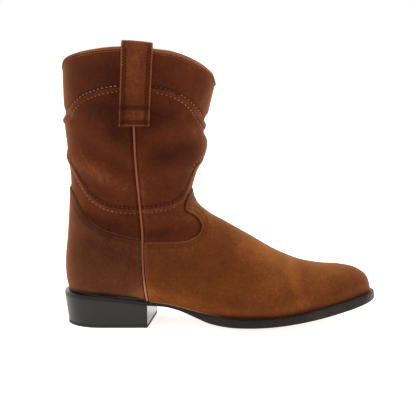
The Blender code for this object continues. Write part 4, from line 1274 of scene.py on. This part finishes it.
def heel_outline(level):
    """Plan points of the heel's two sides, back to breast: level 0 under the sole, 1 at the floor."""
    share = 1.0 - np.cos(np.pi / 2 * np.linspace(0.0, 1.0, HEEL_SAMPLES))
    rows = []
    for side in (-1, 1):
        back = SEAT_BACK + HEEL_INSET + HEEL_BACK_TAPER * level
        breast = HEEL_BREAST_X + HEEL_BREAST_SLANT * side * BREAST_HALF
        x = back + (breast - back) * share
        half = np.maximum(sole_half(x - HEEL_BACK_TAPER * level * (1 - share)) - HEEL_INSET, 0.0)
        y = centre_y(x) + side * np.maximum(half - HEEL_SIDE_TAPER * level * np.sqrt(share), 0.0)
        rows.append(np.stack([x, y], axis=-1))
    return rows


def heel_surface():
    """The heel block as rings round its outline, from under the sole down to the top lift."""
    rings = []
    for level in np.linspace(0.0, 1.0, HEEL_LEVELS):
        outline = even_outline(*heel_outline(level), HEEL_AROUND)
        top = sole_top(outline[:, 0]) - sole_edge(outline[:, 0]) + HEEL_BITE
        z = top + (TOP_LIFT + CLEARANCE - top) * level
        rings.append(np.stack([outline[:, 0], outline[:, 1], z], axis=-1))
    return ring_solid(rings)


def lift_surface():
    """The top lift as rings round the heel's outline at the floor."""
    outline = even_outline(*heel_outline(1.0), HEEL_AROUND)
    return ring_solid([np.column_stack([outline, np.full(len(outline), z)]) for z in (TOP_LIFT, 0.0)])


# Trim
def tube(path, radius, around):
    """A closed tube round a path: circles across its run, with the ends drawn to a point."""
    run = unit(np.gradient(path, axis=0))
    across = unit(np.cross(run, (0.0, 1.0, 0.0)))
    lift = np.cross(across, run)
    point, shoulder = 0.01, 0.85
    girth = np.full(len(path), radius)
    girth[[0, -1]] = point
    girth[[1, -2]] = shoulder * radius
    turn = np.linspace(0.0, 2 * np.pi, around, endpoint=False)
    ring = across[:, None] * np.cos(turn)[None, :, None] + lift[:, None] * np.sin(turn)[None, :, None]
    return path[:, None] + ring * girth[:, None, None]


def binding_rings():
    """The collar binding: a folded profile carried round the collar's loop, square to its edge, and thinner
    outside at the front and back."""
    x, z, side = whole_loops(*COLLAR_GRID)
    edge = skin(x[-1], z[-1], side[-1])
    out = skin(x[-1], z[-1], side[-1], 1.0) - edge
    up = unit(np.cross(np.roll(edge, -1, axis=0) - np.roll(edge, 1, axis=0), out))
    up = up * np.sign(up[:, 2:])
    low, face, back = -BINDING_DEPTH, BINDING_FACE, -WALL - BINDING_SLACK - BINDING_ROUND
    middle, reach = (face + back) / 2, (face - back) / 2
    row_low, row_high = STITCH_DROP - BINDING_ROW_HALF, STITCH_DROP + BINDING_ROW_HALF
    lip = [(-0.4, low), (0.1, low + 0.1), (0.4, low + 0.6)]
    outside = [(face, row_low), (face - BINDING_ROW_DEPTH, STITCH_DROP), (face, row_high), (face, -0.8)]
    over = [(middle + reach * math.cos(turn), BINDING_RISE * math.sin(turn))
            for turn in np.linspace(0.0, np.pi, RIM_STEPS)]
    inside = [(back, low + 0.35), (back + BINDING_ROUND, low), (1.0 - WALL, low)]
    against_wall = [(1.0 - WALL, -0.5), (-0.4, -0.5)]
    profile = lip + outside + over + inside + against_wall
    from_middle = np.abs(edge[:, 1] - middle_y(x[-1], z[-1]))
    sides = smooth_step((from_middle - BINDING_THIN_HALF) / BINDING_THIN_FADE)[:, None]
    thin = BINDING_THINNEST + (1.0 - BINDING_THINNEST) * sides
    row = edge + out * (face - BINDING_ROW_SINK) * thin + up * STITCH_DROP
    rings = [edge + out * (n * thin if n > 0.0 else n) + up * u for n, u in profile]
    return np.stack(rings, axis=1), np.array(profile), row, out


def strap_path(side):
    """Rows of a pull strap's inner face from its foot outside, where it is a little narrower, over the
    collar, to its tail inside."""
    foot_x = STRAP_FOOT_X - INNER_SEAM_BACK * (side > 0)
    across = foot_x + np.linspace(-STRAP_WIDTH / 2, STRAP_WIDTH / 2, STRAP_STEPS)
    over_binding = CLEARANCE + BINDING + CLEARANCE
    under_binding = WALL + BINDING_SLACK + BINDING + CLEARANCE
    near = STRAP_NEAR_COLLAR
    top = collar_z(across)
    share = np.linspace(0.0, 1.0, STRAP_LEG_STEPS)[:-1, None]
    z = STRAP_FOOT_Z + (top - STRAP_FOOT_Z) * share
    x = across + STRAP_LEAN * (z - STRAP_FOOT_Z)
    x = x - (1.0 - share) * (STRAP_NARROWING * (across - foot_x) + STRAP_FOOT_SHIFT)
    rest = smooth_step((z - top + near) / (near - BINDING_DEPTH - STRAP_NEAR_BINDING))
    leg = skin(x, z, side, 2 * CLEARANCE + (over_binding - 2 * CLEARANCE) * rest)
    x = across + STRAP_LEAN * (top - STRAP_FOOT_Z)
    z = collar_z(x)
    out, home = skin(x, z, side, over_binding), skin(x, z, side, -under_binding)
    turn = np.linspace(0.0, np.pi, STRAP_ARCH_STEPS)[:, None, None]
    rise = np.array([0.0, 0.0, over_binding + STRAP_RISE])
    arch = (out + home) / 2 + (out - home) / 2 * np.cos(turn) + rise * np.sin(turn)
    level = z + (STRAP_TAIL_Z - z) * np.linspace(0.0, 1.0, STRAP_TAIL_STEPS)[1:, None]
    tail = skin(np.broadcast_to(x, level.shape), level, side, -under_binding)
    return np.concatenate([leg, arch, tail])


def strap_normal(rows, side):
    """Outward normals of a strap's rows."""
    return unit(np.cross(np.gradient(rows, axis=1), np.gradient(rows, axis=0)) * -side)


def strap_margin():
    """Distance of a strap's columns from its nearer edge."""
    return (1.0 - np.abs(np.linspace(-1.0, 1.0, STRAP_STEPS))) * STRAP_WIDTH / 2


def stitches(path, normal, pitch, length, radius, rise=THREAD_RISE, wanted=None, slant_deg=0.0, shift=0.0):
    """Threads along a path: each is a short tube that arches out of the face, with both ends sunk in it.
    wanted marks the points of the path that may carry a thread, slant_deg turns each thread on the face, and
    shift moves the row along by a part of the pitch."""
    walk = walked(path)
    middles = np.arange(pitch * (0.5 + shift), walk[-1] - pitch / 2, pitch)
    if wanted is not None:
        starts = np.interp(middles - length / 2, walk, wanted)
        ends = np.interp(middles + length / 2, walk, wanted)
        middles = middles[np.minimum(starts, ends) > 0.99]

    def at(values, where):
        return np.stack([np.interp(where, walk, values[:, k]) for k in range(3)], axis=-1)

    centre = at(path, middles)
    straight = unit(at(path, middles + length / 2) - at(path, middles - length / 2))
    up = unit(at(normal, middles))
    aside = np.cross(up, straight)
    cos, sin = math.cos(math.radians(slant_deg)), math.sin(math.radians(slant_deg))
    run, across = straight * cos + aside * sin, aside * cos - straight * sin
    place = np.linspace(-1.0, 1.0, THREAD_STEPS)
    turn = np.linspace(0.0, 2 * np.pi, THREAD_AROUND, endpoint=False)
    girth = radius * np.sqrt(np.clip(THREAD_BLUNT - place**2, 0.0, None))
    height = rise - (rise + THREAD_SINK) * place**2
    along_run = (centre[:, None] + run[:, None] * (place * length / 2)[None, :, None]
                 + up[:, None] * height[None, :, None])
    ring = (up[:, None, None] * np.sin(turn)[None, None, :, None]
            + across[:, None, None] * np.cos(turn)[None, None, :, None]) * girth[None, :, None, None]
    return along_run[:, :, None] + ring


def join_tubes(groups):
    """Points and quads of many short six-sided tubes, each with both ends closed."""
    tubes = np.concatenate(groups)
    count, rings, around = tubes.shape[:3]
    sides = grid_faces(rings, around, closed=True)
    last = (rings - 1) * around
    cap = np.array([(0, 1, 2, 3), (0, 3, 4, 5)])
    one = np.concatenate([sides, cap[:, ::-1], last + cap])
    quads = (one[None] + (np.arange(count) * rings * around)[:, None, None]).reshape(-1, 4)
    return tubes.reshape(-1, 3), quads


def row_on(line, side, lift, sizes, keep):
    """A stitch row along a side line on a face: its path, its normals and where it may be sewn. lift gives
    the face's height over the upper, and keep the points that are free."""
    x, z = line.T
    inside = (x > back_x(z) + OUTLINE_MARGIN) & (x < front_x(z) - OUTLINE_MARGIN)
    x, z = x[inside], z[inside]
    height = lift(x, z, np.full(x.shape, float(side)), sizes)
    path = skin(x, z, side, height)
    return path, skin(x, z, side, height + 1.0) - path, keep(x, z).astype(float)


class BOOT_OT_sole(bpy.types.Operator):
    """Make the outsole, heel and top lift, and give the insole the lining leather"""

    bl_idname = "boot.sole"
    bl_label = "Sole and Heel"

    def execute(self, context):
        kit = finishes(context.scene.boot_colours, context.scene.boot_sizes)
        points, quads, threes = sole_surface()
        x = points[:, 0]
        # Paler sole edge towards the toe and heel, with a painted highlight on the welt round the seat's back
        # and at the toe tip
        on_top = points[:, 2] > sole_top(x) - CLEARANCE
        added_tone = slopes(x, SOLE_SLOPES) + bells(x, SOLE_SPOTS) + on_top * slopes(x, SEAT_HIGHLIGHT)
        outsole = piece("outsole_dressed", points, quads, kit["edge"], threes, "outsole", added_tone)
        outsole.data.materials.append(kit["under"])
        outsole.data.materials.append(kit["breast"])
        facing_up, middle_x = face_rows(outsole, "normal")[:, 2], face_rows(outsole, "center")[:, 0]
        polished = (facing_up > SHINING_UP) & (middle_x < SEAT_HIGHLIGHT[0].at * MM)
        bare = (facing_up < -FACING) & (middle_x > HEEL_BREAST_X * MM)
        dress_faces(outsole, bare + 2 * polished)
        points, quads, threes = heel_surface()
        heel = piece("heel_dressed", points, quads, kit["heel"], threes, "heel")
        heel.data.materials.append(kit["breast"])
        dress_faces(heel, face_rows(heel, "normal")[:, 0] > FACING)
        soften(heel, HEEL_SOFT)
        points, quads, threes = lift_surface()
        lift = piece("top_lift_dressed", points, quads, kit["lift"], threes, "top_lift")
        soften(lift, LIFT_SOFT)
        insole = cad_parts["insole"]
        insole.data.materials.clear()
        insole.data.materials.append(kit["lining"])
        return {"FINISHED"}


class BOOT_OT_upper(bpy.types.Operator):
    """Make the hollow upper and its lining, which lies deeper in the foot"""

    bl_idname = "boot.upper"
    bl_label = "Upper and Lining"

    def execute(self, context):
        sizes = context.scene.boot_sizes
        kit = finishes(context.scene.boot_colours, sizes)
        x, z, side = whole_loops(*UPPER_GRID)
        points = skin(x, z, side, upper_lift(x, z, side, sizes))
        quads = grid_faces(*x.shape, closed=True)
        upper = piece("upper_suede", points, quads, kit["shaft"], stands_for="upper",
                      tone=upper_tone(x, z, side, sizes))
        thicken(upper, UPPER_THICK)
        x, z, side = whole_loops(*LINING_GRID)
        deeper = LINING_SLACK * smooth_step((LINING_SLACK_Z - z) / LINING_SLACK_FADE)
        points = skin(x, z, side, -WALL - deeper)
        lining = piece("lining", points, grid_faces(*x.shape, closed=True)[:, ::-1], kit["lining"])
        thicken(lining, LINING_THICK)
        return {"FINISHED"}


class BOOT_OT_panels(bpy.types.Operator):
    """Make the vamp and the counter, whose foot is stained like the sole's edge"""

    bl_idname = "boot.panels"
    bl_label = "Vamp and Counter"

    def execute(self, context):
        sizes = context.scene.boot_sizes
        kit = finishes(context.scene.boot_colours, sizes)

        def foot_path(end_x, shift, top_z):
            seam_z = np.linspace(seam_foot_z(), top_z, SEAM_STEPS)
            seam = np.stack([seam_x(seam_z, -1) + shift, seam_z], axis=-1)
            share = np.sin(np.pi / 2 * np.linspace(0.0, 1.0, FEATHER_STEPS)) ** 2
            floor_x = end_x + (seam[0, 0] - end_x) * share
            floor = np.stack([floor_x, sole_top(floor_x) + CLEARANCE], axis=-1)
            side_path = np.concatenate([floor, seam[1:]])
            depth = skin(side_path[:, 0], side_path[:, 1], -1)[:, 1]
            return np.column_stack([side_path, depth])

        def with_depth(line):
            return np.column_stack([line, np.zeros(len(line))])

        tongue = int(np.argmax(FRONT[:, 1] > VAMP_LINE[-1].z + 1.0))
        foot = foot_path(FRONT[0, 0], SEAM_HALF_GAP, VAMP_LINE[0].z)
        x, z, side = leaf_grid(with_depth(FRONT[:tongue]), foot, *VAMP_GRID)
        x, z, quads, threes = trimmed(x, z, -away_from(VAMP, x, z))
        points = skin(x, z, side, vamp_lift(x, z, side, sizes))
        vamp = piece("vamp_suede", points, quads, kit["foot"], threes, "vamp",
                     panel_tone(-away_from(VAMP, x, z), x, z, side, VAMP_EDGE_HIGHLIGHT))
        thicken(vamp, PANEL_THICK)

        peak = int(np.argmax(BACK[:, 1] > COUNTER_LINE[-1].z))
        foot = foot_path(BACK[0, 0], -SEAM_HALF_GAP, COUNTER_LINE[0].z)
        x, z, side = leaf_grid(with_depth(BACK[:peak]), foot, *COUNTER_GRID)
        x, z, side = x[:, ::-1], z[:, ::-1], side[:, ::-1]
        x, z, quads, threes = trimmed(x, z, away_from(COUNTER, x, z))
        points = skin(x, z, side, counter_lift(x, z, side, sizes))
        counter = piece("counter_suede", points, quads, kit["counter"], threes, "counter",
                        panel_tone(away_from(COUNTER, x, z), x, z, side, COUNTER_EDGE_SHADE) + COUNTER_TONE)
        counter.data.materials.append(kit["edge"])
        x, _, z = face_rows(counter, "center").T / MM
        dress_faces(counter, over_sole(x, z) < sole_dark_band(x) - STAIN_MARGIN)
        thicken(counter, PANEL_THICK)
        return {"FINISHED"}


class BOOT_OT_trim(bpy.types.Operator):
    """Make the collar binding, the side piping and the pull straps"""

    bl_idname = "boot.trim"
    bl_label = "Binding, Piping and Straps"

    def execute(self, context):
        sizes = context.scene.boot_sizes
        kit = finishes(context.scene.boot_colours, sizes)
        rings, profile, _, _ = binding_rings()
        quads = grid_faces(len(rings) + 1, rings.shape[1], closed=True) % (len(rings) * rings.shape[1])
        up = profile[:, 1]
        # Painted highlight on the binding's face above its stitch row and on its rim over the collar
        tone = BINDING_TONE + BINDING_FACE_HIGHLIGHT * smooth_step((up - STITCH_DROP) / BINDING_ROW_HALF)
        tone = np.broadcast_to(tone + BINDING_RIM_HIGHLIGHT * (up > BINDING_RIM_UP), rings.shape[:2])
        piece("collar_binding_suede", rings, quads[:, ::-1], kit["binding"], stands_for="collar_binding",
              tone=tone)
        for name, side in (("outer", -1), ("inner", 1)):
            z = np.linspace(seam_foot_z() + CORD_FOOT, STRAP_FOOT_Z + CORD_END, CORD_STEPS)
            path = skin(seam_x(z, side), z, side, CORD_LIFT)
            points, quads, threes = ring_solid(tube(path, CORD_RADIUS, CORD_AROUND))
            added_tone = CORD_TONE + slopes(points[:, 2], CORD_SLOPES) + bells(points[:, 2], CORD_SPOTS)
            piece("side_piping_%s_cord" % name, points, quads, kit["piping"], threes,
                  stands_for="side_piping_" + name, tone=added_tone)

            rows, margin = strap_path(side), strap_margin()
            sunk = sum(bell(margin - row, STRAP_ROW_REACH) for row in STRAP_ROWS)
            rows = rows - STRAP_ROW_DEPTH * sunk[None, :, None] * strap_normal(rows, side)
            climb = walked(rows[:, STRAP_STEPS // 2])[:, None]
            tone = STRAP_TONE + bells(margin, STRAP_ACROSS) + bells(climb, STRAP_UP)
            tone = tone + slopes(rows[..., 2], STRAP_SLOPES)
            quads = grid_faces(*rows.shape[:2])
            quads = quads if side < 0 else quads[:, ::-1]
            strap = piece("pull_strap_%s_suede" % name, rows, quads, kit["shaft"],
                          stands_for="pull_strap_" + name, tone=tone)
            strap.data.materials.append(kit["raw"])
            thicken(strap, STRAP_THICK, 1.0)
            strap.modifiers["Thickness"].material_offset_rim = 1
            soften(strap, STRAP_SOFT)
        return {"FINISHED"}


class BOOT_OT_threads(bpy.types.Operator):
    """Sew the seams of the shaft, the panels, the collar and the straps"""

    bl_idname = "boot.threads"
    bl_label = "Stitches"

    def execute(self, context):
        sizes = context.scene.boot_sizes
        kit = finishes(context.scene.boot_colours, sizes)
        rows_of = {"pale": [], "dull": [], "plum": [], "dark": [], "brown": []}
        radius = sizes.thread / MM
        long_step = {"pitch": sizes.pale_pitch / MM, "length": sizes.pale_length / MM}
        short_step = {"pitch": sizes.dark_pitch / MM, "length": sizes.dark_length / MM}

        def clear_of_trim(x, z):
            from_strap = np.abs(x - STRAP_FOOT_X - STRAP_LEAN * (z - STRAP_FOOT_Z)) - STRAP_WIDTH / 2
            under_strap = (from_strap < CLEAR_OF_TRIM) & (z > STRAP_FOOT_Z)
            under_piping = np.abs(x - seam_x(z, -1)) < PIPING_RADIUS + CLEAR_OF_TRIM
            return ~under_strap & ~under_piping & (away_from(VAMP, x, z) > CLEAR_OF_EDGE)

        def clear_of_seam(x, z):
            return np.abs(x - seam_x(z, -1)) > SEAM_HALF_GAP + CLEAR_OF_SEAM

        for side in (-1, 1):
            for row in SEAM_ROWS:
                line = beside(SHAFT_LINES[row.line], -row.bands * sizes.band / MM)
                path, normal, wanted = row_on(line, side, upper_lift, sizes, clear_of_trim)
                wanted = wanted * (path[:, 0] > row.from_x) * (path[:, 0] < row.to_x)
                rows_of[row.thread].append(stitches(path, normal, **long_step, radius=radius, wanted=wanted))
            for line, hand, lift in ((VAMP, -1.0, vamp_lift), (COUNTER, 1.0, counter_lift)):
                for by in PANEL_ROWS:
                    path, normal, wanted = row_on(beside(line, hand * by), side, lift, sizes, clear_of_seam)
                    rows_of["brown"].append(stitches(
                        path, normal, **short_step, radius=PANEL_THREAD * radius, rise=PANEL_THREAD_RISE,
                        wanted=wanted))

            rows = strap_path(side)
            normal, margin = strap_normal(rows, side), strap_margin()
            face = rows + (STRAP_THICK - STRAP_SINK) * normal
            leg = slice(0, STRAP_LEG_STEPS + 2)
            for k, row in enumerate(STRAP_ROWS):
                near = int(np.argmin(np.abs(margin[: STRAP_STEPS // 2] - row)))
                for column, hand in ((near, 1.0), (STRAP_STEPS - 1 - near, -1.0)):
                    rows_of["dark"].append(stitches(
                        face[leg, column], normal[leg, column], **short_step, radius=STRAP_THREAD * radius,
                        slant_deg=hand * STRAP_SLANT * (1 - 2 * k), shift=0.5 * k))
            climb = walked(face[leg, STRAP_STEPS // 2])
            inner = slice(STRAP_BAR_MARGIN, STRAP_STEPS - STRAP_BAR_MARGIN)
            for k, bar in enumerate(STRAP_BARS):
                level, second = int(np.argmin(np.abs(climb - bar))), k % 2
                rows_of["dark"].append(stitches(
                    face[level, inner], normal[level, inner], **short_step, radius=STRAP_BAR_THREAD * radius,
                    slant_deg=STRAP_SLANT * (1 - 2 * second), shift=0.5 * second))
        _, _, row, out = binding_rings()
        rows_of["dark"].append(stitches(row, out, **short_step, radius=radius))
        for name, thread in (("shaft_stitches", "pale"), ("shaft_stitches_second", "dull"),
                             ("shaft_stitches_third", "plum"), ("trim_stitches", "dark"),
                             ("panel_stitches", "brown")):
            points, quads = join_tubes(rows_of[thread])
            piece(name, points, quads, kit[thread])
        return {"FINISHED"}


class BOOT_OT_stage(bpy.types.Operator):
    """Set the pale floor, the soft light and the camera"""

    bl_idname = "boot.stage"
    bl_label = "Floor, Light and Camera"

    def execute(self, context):
        scene = context.scene
        scene.view_settings.view_transform = "Standard"
        world = bpy.data.worlds.new("Studio")
        scene.world = world
        world.use_nodes = True
        background = world.node_tree.nodes["Background"]
        background.inputs["Color"].default_value = (1.0, 1.0, 1.0, 1.0)
        background.inputs["Strength"].default_value = 1.0

        turn = np.linspace(0.0, 2 * np.pi, FLOOR_AROUND, endpoint=False)
        reach = np.array(FLOOR_REACH)[:, None, None]
        rings = np.stack([np.cos(turn), np.sin(turn), np.zeros(FLOOR_AROUND)], axis=-1)[None] * reach
        data, _ = mesh_of("floor", rings, grid_faces(len(FLOOR_REACH), FLOOR_AROUND, closed=True))
        floor = bpy.data.objects.new("floor", data)
        scene.collection.objects.link(floor)
        made, tree, shader = new_material("Pale floor")
        shade = tuple(scene.boot_colours.floor)
        mottle = ramp(tree, noise(tree, scale=3.0, detail=2.0), ((0.3, times(shade, 0.985)), (0.7, shade)))
        feed(tree, shader.inputs["Base Color"], mottle)
        shader.inputs["Roughness"].default_value = 0.8
        shader.inputs["Specular IOR Level"].default_value = 0.1
        shader.inputs["Emission Color"].default_value = (1.0, 1.0, 1.0, 1.0)
        shader.inputs["Emission Strength"].default_value = FLOOR_GLOW
        data.materials.append(made)

        light = bpy.data.lights.new("overhead", "AREA")
        light.shape = "SQUARE"
        light.size = LAMP_SIZE
        light.energy = LAMP_WATTS
        lamp = bpy.data.objects.new("overhead", light)
        scene.collection.objects.link(lamp)
        lamp.location = LAMP_PLACE
        away_x, away_y, away_z = np.array(LAMP_PLACE) - np.array(LAMP_AIM)
        tilt, turn = math.atan2(math.hypot(away_x, away_y), away_z), math.atan2(away_x, -away_y)
        lamp.rotation_euler = (tilt, 0.0, turn)

        lens = bpy.data.cameras.new("camera")
        lens.sensor_width = SENSOR
        lens.lens = FOCAL_PIXELS * SENSOR / PICTURE_PIXELS
        camera = bpy.data.objects.new("camera", lens)
        scene.collection.objects.link(camera)
        camera.location = CAMERA_PLACE
        camera.rotation_euler = (math.radians(90.0 - CAMERA_DOWN_DEG), 0.0, 0.0)
        scene.camera = camera
        return {"FINISHED"}


STEPS = (BOOT_OT_stage, BOOT_OT_sole, BOOT_OT_upper, BOOT_OT_panels, BOOT_OT_trim, BOOT_OT_threads)


class BOOT_PT_panel(bpy.types.Panel):
    """Lists the boot's steps, sizes and colours"""

    bl_label = "Western Boot"
    bl_idname = "BOOT_PT_panel"
    bl_space_type = "VIEW_3D"
    bl_region_type = "UI"
    bl_category = "Boot"

    def draw(self, context):
        for step in STEPS:
            self.layout.operator(step.bl_idname)
        for group in (context.scene.boot_sizes, context.scene.boot_colours):
            for name in group.__annotations__:
                self.layout.prop(group, name)


CLASSES = (BootSizes, BootColours, *STEPS, BOOT_PT_panel)


def register():
    """Registers the classes and the boot's properties on the scene."""
    for each in CLASSES:
        bpy.utils.register_class(each)
    bpy.types.Scene.boot_sizes = PointerProperty(type=BootSizes)
    bpy.types.Scene.boot_colours = PointerProperty(type=BootColours)


def unregister():
    """Takes the properties and the classes away again."""
    del bpy.types.Scene.boot_colours
    del bpy.types.Scene.boot_sizes
    for each in reversed(CLASSES):
        bpy.utils.unregister_class(each)


def main():
    """Makes every piece in order."""
    register()
    bpy.ops.boot.stage()
    bpy.ops.boot.sole()
    bpy.ops.boot.upper()
    bpy.ops.boot.panels()
    bpy.ops.boot.trim()
    bpy.ops.boot.threads()
    bpy.context.view_layer.update()


if __name__ == "__main__":
    main()
